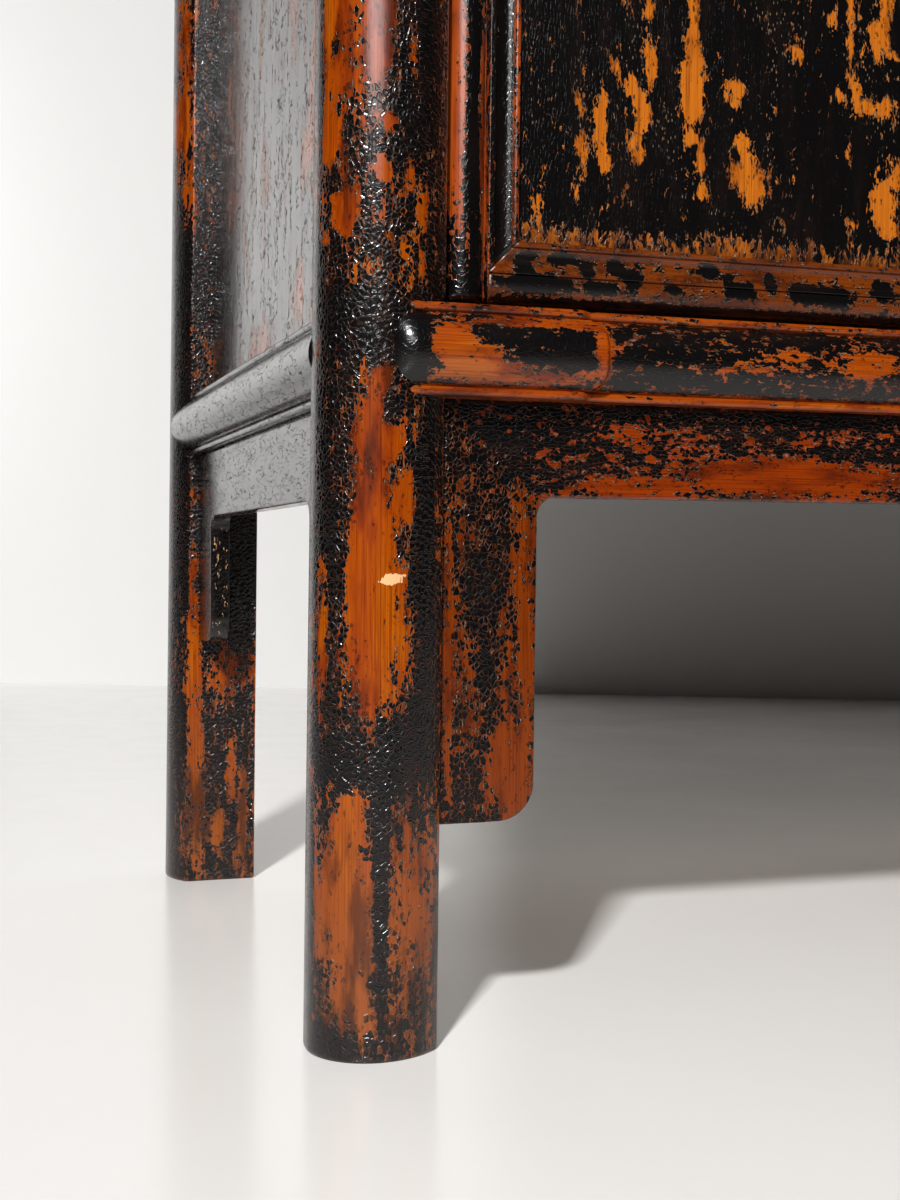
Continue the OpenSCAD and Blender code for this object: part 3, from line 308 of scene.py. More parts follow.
def lacquer(name, grain, base=-0.34, wood=ORANGE, deep=DEEP_ORANGE, cell=(2.3, 3.0), crack=0.12, cup=0.09,
            flake=(6, 17), spread=0.3, chips=0.5, red=0.0, gloss=0.13, level=0.5, veins=0.0, specks=0.0,
            curls=None):
    """Black lacquer over softwood. base + wear + noises + the crack cells' own random values give a field:
    above zero the lacquer has flaked to bare wood, and just under zero its cracks are open to the wood. Where
    the rub attribute is high, that change is gradual; where the pale attribute passes one, bare pale wood shows:
    on chips that is worn wood, along the arrises worn wood and a painted highlight. A pale line along the flaked
    edges is a painted highlight.
    Cell, flake and curls are sizes (across, along the grain). The cells are cupped: their rims stand up by
    the cracks. Spread is the share of the slow noise and chips that of the cells. Gloss is the roughness and
    level the strength of the mirror. Curls are dull hair lines along the contours of a noise."""
    r = Recipe(name, grain)
    warp = r.noise(r.vec("SCALE", r.mm, scale=0.16), 2.0, 0.5, out=1)
    warped = r.vec("ADD", r.mm, r.vec("SCALE", warp, scale=2.4))
    on_cells = r.stretched(*cell, warped)
    edge = r.cells(on_cells, "DISTANCE_TO_EDGE", "Distance")
    own = r.node("ShaderNodeSeparateColor", {0: r.cells(on_cells)}).outputs[0]
    flakes = r.grain_noise(*flake, 5.0, 0.62, warped)
    wide = r.grain_noise(22, 70, 2.0, 0.5)
    fine = r.grain_noise(0.9, 3.6, 3.0, 0.6)
    tone = r.grain_noise(10, 50, 3.0, 0.55)
    lines = r.grain_noise(0.7, 60, 3.0, 0.65)
    rub, pale = r.attribute("rub"), r.attribute("pale")

    field = r.math("ADD", r.attribute("wear"), base - FLAKES / 2 - spread - chips / 2 - FINE / 2)
    for pattern, share in ((flakes, FLAKES), (wide, 2 * spread), (own, chips), (fine, FINE), (pale, 0.5)):
        field = r.times_plus(pattern, share, field)
    open_cracks = r.step(edge, 0.03, 0.14, 0.30, 0.0)
    worn = r.math("ADD", field, r.times(open_cracks, r.step(field, -0.26, -0.03)))
    soft = r.times_plus(rub, 0.30, 0.02)
    bare = r.step(worn, r.times(soft, -1.0), soft)

    timber = smoked_timber(r, wood, deep, worn, wide, lines, tone, rub)
    coat = black_coat(r, field, edge, own, wide, tone, red, veins, specks)
    # A pale line along the lacquer's flaked edges: a painted highlight for the glints on these steps.
    rim_glint = r.times(r.step(r.math("ABSOLUTE", worn), 0.01, 0.05, 1.0, 0.0), r.step(fine, 0.44, 0.56))
    rim_glint = r.times(rim_glint, r.times_plus(rub, -0.6, 0.62))
    colour = r.mix(rim_glint, r.mix(bare, coat, timber), PALE_SPECK_AND_RIM_GLINT)
    # Pale wood where pale passes one: worn wood, and along the arrises also a painted highlight.
    bare_and_arris_glint = r.times_plus(fine, 0.9, r.times_plus(flakes, 0.5, r.math("ADD", pale, -1.7)))
    r.look("Base Color", r.mix(r.step(bare_and_arris_glint, 0.0, 0.05), colour, RAW_WOOD_AND_ARRIS_HIGHLIGHT))

    rough = r.step(tone, 0.3, 0.7, gloss, gloss + 0.06)
    rough = r.times_plus(bare, 0.04, r.times_plus(fine, 0.04, rough))
    if curls:
        curl = r.math("ABSOLUTE", r.math("SUBTRACT", r.grain_noise(*curls, 3.0, 0.6), 0.5))
        dull = r.times(r.step(curl, 0.004, 0.022, 1.0, 0.0), r.step(flakes, 0.42, 0.52))
        rough = r.times_plus(dull, 0.55, rough)
    r.look("Roughness", rough)
    r.look("Specular IOR Level", level)

    shell = r.math("SUBTRACT", 1.0, bare)
    groove = r.step(edge, 0.02, 0.12, 0.0, crack)
    rise = r.step(edge, 0.07, 0.24, cup, 0.0)
    height = r.times(shell, r.math("ADD", r.math("ADD", groove, rise), 0.14))
    height = r.times_plus(fine, 0.016, height)
    r.bump(r.times_plus(lines, r.times(bare, 0.05), height), 1.0)
    return r.mat


def bare_wood(name, grain, light, dark, rough=0.55):
    """Waxed softwood: long fine grain lines over slow bands, both from stretched noise."""
    r = Recipe(name, grain)
    lines = r.grain_noise(1.6, 90, 4.0, 0.6)
    bands = r.grain_noise(16, 380, 3.0, 0.5, distort=0.4)
    pores = r.grain_noise(0.5, 7, 2.0, 0.6)
    colour = r.mix(r.step(bands, 0.35, 0.65), dark, light)
    colour = r.mix(r.step(lines, 0.42, 0.62, 0.55, 0.0), colour, dark)
    colour = r.mix(r.step(pores, 0.62, 0.72, 0.0, 0.4), colour, tuple(0.4 * c for c in dark))
    r.look("Base Color", colour)
    r.look("Roughness", r.step(lines, 0.3, 0.7, rough + 0.1, rough - 0.05))
    r.bump(r.times_plus(lines, 0.10, r.times(pores, 0.05)), 0.7)
    return r.mat


def worn_brass(name):
    """Aged brass: brown tarnish in slow clouds over rubbed metal, with fine scratches."""
    r = Recipe(name)
    cloud = r.noise(r.vec("SCALE", r.mm, scale=0.12), 5.0, 0.6)
    scratch = r.noise(r.vec("MULTIPLY", r.mm, (1.2, 1.2, 0.08)), 3.0, 0.6)
    r.look("Base Color", r.mix(r.step(cloud, 0.4, 0.65), (0.62, 0.45, 0.20), (0.24, 0.15, 0.07)))
    r.look("Metallic", 1.0)
    r.look("Roughness", r.times_plus(cloud, 0.3, r.step(scratch, 0.4, 0.7, 0.12, 0.26)))
    r.bump(r.times_plus(scratch, 0.03, r.times(cloud, 0.06)), 0.6)
    return r.mat


LACQUERED = {
    "post": (Z, dict(flake=(4.5, 18), cup=0.07, gloss=0.11, veins=0.5)),
    "rail": (X, dict(base=-0.36, cell=(2.0, 3.2), flake=(3.4, 10), red=0.12, crack=0.05, cup=0.02, gloss=0.2,
                     level=0.42)),
    "side_rail": (Y, dict(base=-0.7, crack=0, cup=0, gloss=0.11, level=0.85, curls=(4, 15))),
    "cap": (X, dict(flake=(6, 18), cup=0.05)),
    "cap_end": (Y, dict(flake=(6, 18), cup=0.05)),
    "apron": (X, dict(base=-0.36, wood=(0.22, 0.028, 0.0010), deep=(0.13, 0.014, 0.0008), cell=(2.0, 2.6),
                      flake=(3.4, 11), red=0.32, crack=0.06, cup=0.02, level=0.42, veins=0.25)),
    "spandrel": (Z, dict(base=-0.31, wood=(0.17, 0.028, 0.0010), deep=(0.10, 0.013, 0.0007), flake=(3.6, 14),
                         chips=0.7, red=0.16, crack=0.08, cup=0.03, level=0.34, veins=1.0)),
    "side_apron": (Y, dict(base=-0.7, crack=0, cup=0, gloss=0.11, level=0.75, curls=(3, 14))),
    "side": (Z, dict(base=-0.36, flake=(9, 60), crack=0, cup=0, spread=0.5, chips=0.2, gloss=0.11,
                     curls=(11, 16))),
    "side_spandrel": (Z, dict(base=-0.95, chips=0.2, crack=0.05, cup=0.03)),
    "stile": (Z, dict(wood=(0.30, 0.050, 0.005), deep=(0.19, 0.028, 0.003), flake=(3.4, 20), crack=0.05,
                      cup=0.02, red=0.2)),
    "door_rail": (X, dict(base=0.12, wood=(0.15, 0.029, 0.0012), deep=(0.08, 0.013, 0.0010), cell=(4.0, 3.0),
                          flake=(4, 6), crack=0.03, cup=0.02, spread=0.3, chips=0.15, gloss=0.2, level=0.4)),
    "panel": (Z, dict(base=-0.48, wood=TAN, deep=(0.30, 0.07, 0.005), cell=(1.7, 4.6), crack=0.04, cup=0.02,
                      flake=(3.6, 8), spread=0.15, chips=0.35, specks=0.6, gloss=0.16)),
}
FINISH = {part: lacquer(f"{part}_finish", grain, **look) for part, (grain, look) in LACQUERED.items()}
FINISH["inner"] = bare_wood("inner_wood_finish", X, (0.33, 0.19, 0.09), (0.20, 0.10, 0.045))
FINISH["inner_up"] = bare_wood("inner_upright_finish", Z, (0.30, 0.17, 0.08), (0.18, 0.09, 0.04))
FINISH["back"] = bare_wood("back_wood_finish", X, (0.16, 0.09, 0.055), (0.09, 0.05, 0.032), 0.65)
FINISH["brass"] = worn_brass("brass_finish")


# ---------------- making pieces
def blobs_at(h, v, spots):
    """Sum over the spots (h0, v0, half width, half height, amount) of 0.9 amount / (1 + d^6), where d is the
    distance from the spot's centre in units of its half sizes; the sum is kept under 0.95."""
    total = np.zeros_like(h)
    for h0, v0, a, b, amount in spots:
        d2 = ((h - h0) / a) ** 2 + ((v - v0) / b) ** 2
        total += 0.9 * amount / (1 + d2 ** 3)
    return np.minimum(total, 0.95)


def placed(name, data):
    """New object in the scene."""
    thing = bpy.data.objects.new(name, data)
    scene.collection.objects.link(thing)
    return thing


def surface(name, rings, body, finish, stands_for, wear=0.0, pale=0.0, rub=0.0, mirror=(1, 1)):
    """Mesh over a grid of rings (stations, points, 3) in millimetres. Neighbouring points and stations
    are joined by quads and the first and last ring are closed. Mirror holds the signs of X and Y.
    The faces are turned outwards by the sign of the enclosed volume. wear, pale and rub are kept as
    attributes; pale, mostly set along the arrises, brings worn pale wood and a painted highlight there."""
    m, n, _ = rings.shape
    co = rings.reshape(-1, 3) * (mirror[0] * 0.001, mirror[1] * 0.001, 0.001)
    i, j = np.meshgrid(np.arange(m - 1), np.arange(n), indexing="ij")
    k = (j + 1) % n
    quads = np.stack([i * n + j, (i + 1) * n + j, (i + 1) * n + k, i * n + k], -1).reshape(-1, 4)
    a, b, c, d = (co[quads[:, q]] - co.mean(0) for q in range(4))
    volume = np.einsum("ij,ij->", a, np.cross(b, c)) + np.einsum("ij,ij->", a, np.cross(c, d))
    faces = quads.tolist() + [list(range(n)), list(range((m - 1) * n, m * n))[::-1]]
    if volume < 0:
        faces = [f[::-1] for f in faces]
    mesh = bpy.data.meshes.new(name)
    mesh.from_pydata(co, [], faces)
    smooth = np.ones(len(faces), bool)
    smooth[-2:] = False
    mesh.polygons.foreach_set("use_smooth", smooth)
    for kind, values in (("wear", wear), ("pale", pale), ("rub", rub)):
        layer = mesh.attributes.new(kind, "FLOAT", "POINT")
        layer.data.foreach_set("value", np.broadcast_to(values, (m, n)).reshape(-1).astype(np.float32))
    mesh.validate()
    mesh.materials.append(FINISH[finish])
    piece = placed(name, mesh)
    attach(piece, body)
    if stands_for:
        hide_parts(*stands_for)
    return piece


def sweep(profile, stations, place):
    """Rings of a profile (n, 2) at the stations: place(profile point arrays, station array) gives x, y, z."""
    return grid(*place(profile[None, :, 0], profile[None, :, 1], stations[:, None]))


LEFT, RIGHT = (1, 1), (-1, 1)
SIDES = (("left", LEFT), ("right", RIGHT))


# ---------------- posts
def post_section(count):
    """The post's section at its foot, from its inner face and its edge: two flat inner faces, two wide arcs
    and a quarter round between them, with its arrises eased. A wide arc that stands out by a share of its
    chord 1 has the radius (1/4 + share^2) / (2 share)."""
    def wide(share):
        r = (0.25 + share * share) / (2 * share)
        return r, math.degrees(math.acos(0.5 / r))
    r1, a1 = wide(SHARE)
    r2, a2 = wide(SIDE_SHARE)
    ring = join([[0, 1 - SHARE]], arc(-1 + r2, -SHARE + 0.5, r2, 90 + a2, 180, 60)[:-1],
                arc(-0.5, -SHARE + 0.5, 0.5, 180, 270, 60)[1:-1], arc(-0.5, -SHARE + r1, r1, 270, 360 - a1, 60))
    ring[1:60, 1] = np.minimum(ring[1:60, 1], 1 - SHARE)
    return soften(ring * POST_FOOT, 1.3, count, pull=5)


def post(name, node, mirror, spots, count, stations, seed, chips=()):
    """Rings of the section at each height, scaled and shifted with the lean, drawn in a little over the
    lowest 1.5 mm and moved out and in by a ripple. Its foot is rubbed up to 156 mm."""
    ring, edge = post_section(count)
    ring = ring / POST_FOOT
    z = np.concatenate([[0, 0.6, 1.5], np.linspace(3, POST_H, stations)])[:, None]
    size = post_size(z)
    ease = np.clip(1.5 - z, 0, 1.5) / POST_FOOT
    x = inner_x(z) + size * (ring[None, :, 0] * (1 - ease * 0.8) - ease * 0.4)
    y = EDGE_Y + size * (ring[None, :, 1] * (1 - ease * 0.8) + ease * 0.25)
    u = np.arange(count)[None, :] / count * 6.283
    bumpy = POST_RIPPLE * ripple(z, 14 * np.sin(u), 38, seed)
    x, y = x + bumpy * np.cos(u + 2.2), y + bumpy * np.sin(u + 2.2)
    z = z + 0 * x
    facing = y > EDGE_Y - 2 if mirror[1] < 0 else y < EDGE_Y + 8
    wear = np.where(facing, blobs_at(x, z, spots), blobs_at(y + x, z, BACKS))
    # Pale along the arrises: worn wood with a painted highlight; pale on the chips: worn wood.
    pale = np.maximum(0.95 * edge[None, :], blobs_at(x, z, chips) * 2)
    rub = np.clip(1.25 - z / 125, 0, 1) * (0.6 + 0.4 * facing)
    return surface(name, grid(x, y, z), "carcass", "post", [node], wear, pale, rub, mirror)


FRONT_POST_SPOTS = [
    (-529, 477, 6.8, 37, 0.95), (-533, 427, 3.5, 12, 0.9), (-530, 469, 1.9, 5, -0.8), (-513, 476, 6.2, 30, 1.0),
    (-508, 432, 4.5, 4, 0.8), (-511, 410, 4.5, 6, 0.9), (-497, 465, 2.4, 13, 0.8), (-498, 409, 2.4, 7, 0.8),
    (-527, 391, 4.7, 10, 1.0), (-491, 397, 4.1, 13, 0.6), (-534, 380, 1.5, 2, 0.7), (-538, 364, 1.5, 7, 0.7),
    (-492, 367, 1.7, 8, 0.8), (-512, 315, 6.4, 6, 0.6), (-517, 301, 4.5, 6, 0.8), (-511, 286, 11.0, 9, 0.8),
    (-539, 291, 1.9, 14, 0.7), (-516, 220, 9.3, 58, 1.25), (-501, 262, 5.5, 12, 0.8),
    (-501, 194, 4.8, 25, 0.45), (-536, 192, 1.9, 22, 0.6), (-538, 229, 3.3, 5, 0.5), (-526, 111, 6.6, 12, 0.8),
    (-528, 69, 14.2, 30, 0.8), (-524, 26, 8.6, 17, 0.6), (-502, 73, 6.5, 48, 0.6), (-489, 66, 6.6, 54, 0.5),
    (-512, 91, 3.4, 58, -0.6), (-494, 465, 10.8, 53, -0.3), (-509, 339, 26, 17, -0.35),
    (-489, 228, 6.1, 88, -0.3), (-535, 291, 8.4, 59, -0.25), (-513, 142, 30, 14, -0.35),
    (-531, 8, 11.3, 7, -0.4)]
FRONT_POST_CHIPS = [(-504, 224, 6, 4.2, 0.6), (-511, 222.5, 5, 2.8, 0.56)]
BACK_POST_SPOTS = [
    (-523, 130, 4.5, 140, 0.7), (-498, 152, 18, 15, 0.55), (-497, 77, 4, 20, 0.8), (-488, 45, 3.5, 34, 0.8),
    (-507, 41, 3.5, 14, 0.7), (-500, 240, 30, 60, -0.6), (-531, 330, 12, 40, -0.4), (-529, 600, 3.5, 40, 0.6),
    (-530, 545, 4, 20, 0.8), (-527, 500, 3, 20, 0.4), (-531, 430, 12, 40, -0.4)]
OTHER_SPOTS = [
    (-508, 90, 18, 60, 0.4), (-500, 620, 8, 90, 0.7), (-514, 980, 7, 70, 0.6), (-523, 790, 6, 50, 0.5),
    (-495, 1180, 7, 60, 0.6), (-504, 1420, 9, 100, 0.6), (-490, 1600, 8, 70, 0.5), (-516, 250, 9, 60, 0.5)]
BACKS = [
    (-700, 160, 14, 90, 0.5), (-730, 520, 12, 80, 0.5), (-690, 900, 10, 130, 0.45),
    (-720, 1300, 12, 120, 0.45)]

post("front_post_left", "post_front_left", LEFT, FRONT_POST_SPOTS + OTHER_SPOTS[1:-1], 112, 620, 1,
     FRONT_POST_CHIPS)
post("front_post_right", "post_front_right", RIGHT, OTHER_SPOTS, 96, 420, 2)
post("back_post_left", "post_back_left", (1, -1), BACK_POST_SPOTS + OTHER_SPOTS[2:-1], 96, 420, 3)
post("back_post_right", "post_back_right", (-1, -1), OTHER_SPOTS, 96, 420, 4)


# ---------------- rails
FRONT_RAIL_SPOTS = [
    (-479, 333, 10.9, 10, 0.95), (-462, 326, 6.2, 6, 0.5), (-402, 331, 5.2, 13, 0.9), (-431, 344, 25, 3, 0.4),
    (-425, 326, 20, 5, -0.4), (-438, 336, 27, 4, -0.3), (-499, 328, 7.2, 15, -1.0), (-297, 332, 22, 5, 0.35),
    (-254, 332, 14.5, 8, 0.7), (-338, 326, 13.6, 4, 0.2), (-445, 319, 44, 4.5, 0.6), (-440, 345, 44, 3, 0.4),
    (-60, 330, 40, 7, 0.45), (150, 330, 50, 7, 0.3), (420, 332, 34, 8, 0.5)]


def front_rail():
    """Section swept along X. The front moves out by the block's raise times f(|x|, height), where f is a
    smooth step at the block's inner end, later towards its upper and lower edge, so that the corners are
    round. Over the post the block thins out as a quarter ellipse."""
    profile, edge = soften(bar_section(CROWN, BEAD, RAIL_IN, RAIL_H), 0.7, 110, pull=5)
    x_in = -inner_x(RAIL_MID)
    x_end = x_in + BLOCK_WRAP
    x_step = x_end - BLOCK_LEN
    half = np.concatenate([np.linspace(0, x_step - 14, 70), np.linspace(x_step - 13, x_step + 13, 40),
                           np.linspace(x_step + 15, x_end - BLOCK_END - 1, 36),
                           x_end - BLOCK_END * np.linspace(1, 0, 30) ** 2])
    x = np.concatenate([-half[::-1], half[1:]])[:, None]
    y0, h = profile[None, :, 0], profile[None, :, 1]
    ax = np.abs(x)
    front = np.clip(-(y0 - 1) / 3, 0, 1)
    on_bead = (h < BEAD_H + 0.5) | (h > RAIL_H - BEAD_H - 0.5)
    length = np.where(on_bead, 8.0, BLOCK_STEP)
    dz = np.clip(np.abs(h - RAIL_H / 2) - (RAIL_H / 2 - BEAD_H - BLOCK_R), 0, BLOCK_R)
    setback = np.where(on_bead, BLOCK_R * 0.8, BLOCK_R - np.sqrt(BLOCK_R ** 2 - dz ** 2 + 1e-9))
    t = np.clip((ax - x_step - setback) / length, 0, 1)
    raised = t * t * (3 - 2 * t)
    y = y0 - BLOCK_RAISE * raised * front
    s = np.clip((x_end - ax) / BLOCK_END, 0, 1)
    thin = np.sqrt(1 - (1 - s) ** 2)
    low = -BEAD + QUIRK
    y = np.where(y < low, low + (y - low) * thin, y)
    y = y + RAIL_RIPPLE * front * ripple(x, h * 3, 30, 7)
    past_post = ax > x_in + 2
    y = np.where(past_post, np.minimum(y, 2.0), y)
    rings = grid(x, EDGE_Y + y, RAIL_Z + h)
    wear = np.where(h < RAIL_H / 2, 0.6, 0.42) * on_bead + 0 * x
    wear = wear + 0.5 * np.clip(1 - np.abs(t - 0.3) * 3, 0, 1) * (t > 0)
    wear = wear + blobs_at(rings[..., 0], rings[..., 2], FRONT_RAIL_SPOTS)
    return surface("cushion_rail_front", rings, "carcass", "rail", ["front_rail"], wear,
                   0.8 * edge * (y0 < 2))


def side_rail(name, node, mirror):
    """The same section swept along Y; its ends run into the round posts."""
    profile, edge = soften(bar_section(CROWN, SIDE_BEAD, RAIL_IN, RAIL_H), 0.7, 96, pull=5)
    y1 = -inner_y(RAIL_MID) + (1 - SHARE) * post_size(RAIL_MID) / 2
    s = np.linspace(-y1, y1, 170)
    rings = sweep(profile, s, lambda u, v, t: (
        SIDE_X + u + RAIL_RIPPLE * ripple(t, v * 3, 30, 9), t, RAIL_Z + v))
    return surface(name, rings, "carcass", "side_rail", [node], 0.0, 0.7 * edge, mirror=mirror)


front_rail()
for side, way in SIDES:
    side_rail(f"cushion_rail_{side}", f"side_rail_{side}", way)


# ---------------- aprons and spandrels
def edged_strip(inner, outer, depth, thick, ease=1.6, steps=22):
    """Board whose front face is ruled from the outer line to the inner line (both (m, 2)); the inner edge is
    rounded by a quarter circle of radius ease, in front and behind. Rings are (across, depth, up)."""
    m = len(inner)
    way = inner - outer
    way = way / np.linalg.norm(way, axis=1)[:, None]
    start = inner - way * ease
    v = np.linspace(0, 1, steps)[None, :, None]
    face = outer[:, None, :] * (1 - v) + start[:, None, :] * v
    t = np.radians(np.linspace(12, 90, 7))[None, :, None]
    turn = start[:, None, :] + way[:, None, :] * ease * np.sin(t)
    turn_d = np.broadcast_to(ease * (1 - np.cos(t)), (m, 7, 1))
    back = turn[:, ::-1]
    back_d = thick - turn_d[:, ::-1]
    rear = np.stack([start, outer], 1)
    flat = np.concatenate([face, turn, back, rear], 1)
    deep = np.concatenate([np.zeros((m, steps, 1)), turn_d, back_d, np.full((m, 2, 1), thick)], 1)
    edge = np.concatenate([np.zeros(steps - 1), [0.4], np.linspace(0.6, 1, 7), np.linspace(1, 0.5, 7), [0, 0]])
    return np.concatenate([flat[..., :1], depth + deep, flat[..., 1:]], -1), edge


def spandrel_lines(f0, f1, toe, count=210):
    """Inner edge of a spandrel from its toe, round the toe's corner and up to the mitre, and the line on the
    post that faces it."""
    cz = RAIL_Z - APRON_H - APRON_R
    cx = f0 + f1 * cz + SPANDREL_W + APRON_R
    tx, tz = f0 + f1 * (toe + TOE_R) + SPANDREL_W - TOE_R, toe + TOE_R
    inner = join([[tx - 6, toe]], arc(tx, tz, TOE_R, 270, 360, 40), arc(cx, cz, APRON_R, 180, 135, 14))
    p, s = along(inner, False)
    u = np.linspace(0, s[-1], count)
    inner = np.stack([np.interp(u, s, p[:, k]) for k in range(2)], 1)
    up = toe + (RAIL_Z - toe) * (u / u[-1])
    return inner, np.stack([f0 + f1 * up + 0.2, up], 1)


def spandrel(name, node, f0, f1, toe, depth, side, mirror, spots=()):
    """Upright board along a post whose face runs as f0 + f1 times the height."""
    rings, edge = edged_strip(*spandrel_lines(f0, f1, toe), depth, BOARD_T)
    return board_piece(name, node, rings, edge, "spandrel", side, mirror, spots)


def board_piece(name, node, rings, edge, kind, side, mirror, spots):
    """The board's rings with a ripple on its face, turned to run along Y if it belongs to a side."""
    h, z = rings[..., 0], rings[..., 2]
    front = rings[..., 1] < rings[..., 1].min() + 3
    rings = rings + np.stack([0 * h, BOARD_RIPPLE * front * ripple(h, z, 40, 11), 0 * h], -1)
    if side:
        rings, kind = rings[..., [1, 0, 2]], f"side_{kind}"
    return surface(name, rings, "carcass", kind, [node], blobs_at(h, z, spots), 0.85 * edge,
                   mirror=mirror)


def apron(name, node, f0, f1, depth, side, mirror, spots=()):
    """Strip between the two mitres: the inner edge runs round the corner, along and round again. Its ends
    slip a little way behind the spandrels."""
    cz = RAIL_Z - APRON_H - APRON_R
    cx = f0 + f1 * cz + SPANDREL_W + APRON_R
    bend = arc(cx, cz, APRON_R, 135, 90, 16)
    half = join(bend, np.stack([np.linspace(cx + 2, 0, 150), np.full(150, cz + APRON_R)], 1))
    inner = np.concatenate([half, half[-2::-1] * (-1, 1)])
    start = f0 + f1 * RAIL_Z
    share = (inner[:, 0] - inner[0, 0]) / (inner[-1, 0] - inner[0, 0])
    outer = np.stack([start + 0.3 - 2 * start * share, np.full(len(inner), RAIL_Z - 0.1)], 1)
    rings, edge = edged_strip(inner, outer, depth, BOARD_T)
    slip = np.array([0.5, 0.12, 0])
    rings = np.concatenate([rings[:1] - slip * (1, -1, 1), rings, rings[-1:] + slip])
    return board_piece(name, node, rings, edge, "apron", side, mirror, spots)


FRONT_F = (inner_x(0), LEAN / POST_H)
SIDE_F = (inner_y(0), (inner_y(POST_H) - inner_y(0)) / POST_H)
BOARD_Y, SIDE_BOARD_X = EDGE_Y + BOARD_SET, SIDE_X + BOARD_SET
FRONT_SPANDREL_SPOTS = [
    (-474, 192, 2.3, 69, 0.7), (-467, 254, 3.5, 21, 0.35), (-437, 237, 6.5, 24, 0.6), (-446, 189, 3.4, 24, 0.5),
    (-443, 132, 11.5, 23, 0.9), (-435, 184, 4.1, 32, 0.75), (-466, 165, 7, 34, 0.25), (-457, 223, 9, 14, -0.3),
    (-454, 180, 5, 14, -0.2), (-466, 124, 8.3, 13, -0.15), (-466, 278, 20, 24, -0.2)]
APRON_SPOTS = [
    (-381, 294, 14.7, 5, 0.55), (-347, 294, 16.5, 6, 0.3), (-285, 275, 57, 9, 1.0), (-375, 268, 34, 5, 0.75),
    (-385, 283, 42, 6, 0.2), (-267, 295, 40, 5, 0.2), (-458, 285, 27, 20, -0.2), (-279, 307, 51, 4, -0.25),
    (-150, 272, 60, 8, 0.6), (60, 276, 90, 7, 0.5), (260, 272, 80, 8, 0.5)]

apron("front_apron_board", "front_apron", *FRONT_F, BOARD_Y, False, LEFT, APRON_SPOTS)
spandrel("front_spandrel_board_left", "front_spandrel_left", *FRONT_F, FRONT_TOE, BOARD_Y, False, LEFT,
         FRONT_SPANDREL_SPOTS)
spandrel("front_spandrel_board_right", "front_spandrel_right", *FRONT_F, FRONT_TOE, BOARD_Y, False, RIGHT)
for side, way in SIDES:
    apron(f"side_apron_board_{side}", f"side_apron_{side}", *SIDE_F, SIDE_BOARD_X, True, way)
    for place, turn in (("front", 1), ("back", -1)):
        spandrel(f"side_spandrel_board_{place}_{side}", f"side_spandrel_{place}_{side}", *SIDE_F, SIDE_TOE,
                 SIDE_BOARD_X, True, (way[0], turn))


# ---------------- sides
SIDE_SPOTS = [
    (-62, 530, 10, 28, 0.52), (-118, 482, 15, 34, 0.46), (-88, 455, 9, 22, 0.46), (30, 366, 34, 17, 0.55),
    (-142, 368, 42, 15, 0.48), (-78, 387, 13, 20, 0.46), (18, 476, 13, 28, 0.42), (120, 520, 30, 60, 0.25),
    (-100, 620, 40, 90, 0.2)]


def side_panel(name, node, mirror):
    """Leaning board between the posts, from the rail to the cap, with slow ripples on its outer face."""
    y0 = EDGE_Y + (1 - SHARE) * POST_HEAD - 6.5
    outline, _ = soften([[0, y0], [0, -y0], [SIDE_T, -y0], [SIDE_T, y0]], 0.5, 130, pull=0.5)
    z = np.linspace(RAIL_TOP - 5, POST_H + 5, 330)
    rings = sweep(outline, z, lambda u, v, t: (
        side_face_x(t) + u + np.where(u < 2, SIDE_RIPPLE, 0.0) * ripple(t, v, 60, 5), v, t))
    wear = blobs_at(rings[..., 1], rings[..., 2], SIDE_SPOTS)
    return surface(name, rings, "carcass", "side", [node], wear, mirror=mirror)


for side, way in SIDES:
    side_panel(f"leaning_side_{side}", f"side_panel_{side}", way)


# ---------------- cap
def cap_member(name, node, half_x, half_y, side, mirror):
    """Rail section swept between two mitres: a point that is d inside the outer face ends at half_x - d."""
    profile, edge = soften(bar_section(half_y, half_y - CAP_SAG, CAP_W - half_y, CAP_H), 0.9, 80, pull=4)
    s = np.linspace(-1, 1, 220)
    rings = sweep(profile, s, lambda u, v, t: (t * (half_x - (u + half_y)), u, POST_H + v))
    if side:
        rings = rings[..., [1, 0, 2]]
    return surface(name, rings, "carcass", "cap_end" if side else "cap", [node], 0.0, 0.9 * edge,
                   mirror=mirror)


CAP_X = -inner_x(POST_H) + POST_HEAD + CAP_OVER
CAP_Y = -(EDGE_Y - SHARE * POST_HEAD) + CAP_OVER
for place, turn in (("front", 1), ("back", -1)):
    cap_member(f"cap_moulding_{place}", f"cap_{place}", CAP_X, CAP_Y, False, (1, turn))
for side, way in SIDES:
    cap_member(f"cap_moulding_{side}", f"cap_side_{side}", CAP_Y, CAP_X, True, way)


# ---------------- doors
def mitre_cut(off):
    """How far from the door's end a point stops that lies off mm inside the moulded band's outer side."""
    return off + DOOR_RAIL_H * np.clip(off * 4, 0, 1)


def band_section(x0):
    """Moulded band from its outer side at x0: fillet, round hollow and bead, depths measured from the crown."""
    hollow = BAND_W - FILLET_W - BAND_BEAD
    t = np.linspace(0, 1, 24)
    dip = BAND_SET + HOLLOW_D * np.sin(np.pi * t) ** 0.5
    bead = arc(x0 + BAND_W - BAND_BEAD / 2, BAND_SET + 0.3 + BAND_BEAD / 2, BAND_BEAD / 2, 180, 360, 14)
    return join([[x0, BAND_SET], [x0 + FILLET_W, BAND_SET]],
                np.stack([x0 + FILLET_W + hollow * t[1:-1], dip[1:-1]], 1),
                [[x0 + FILLET_W + hollow, BAND_SET + 1.8]], bead[2:-2])


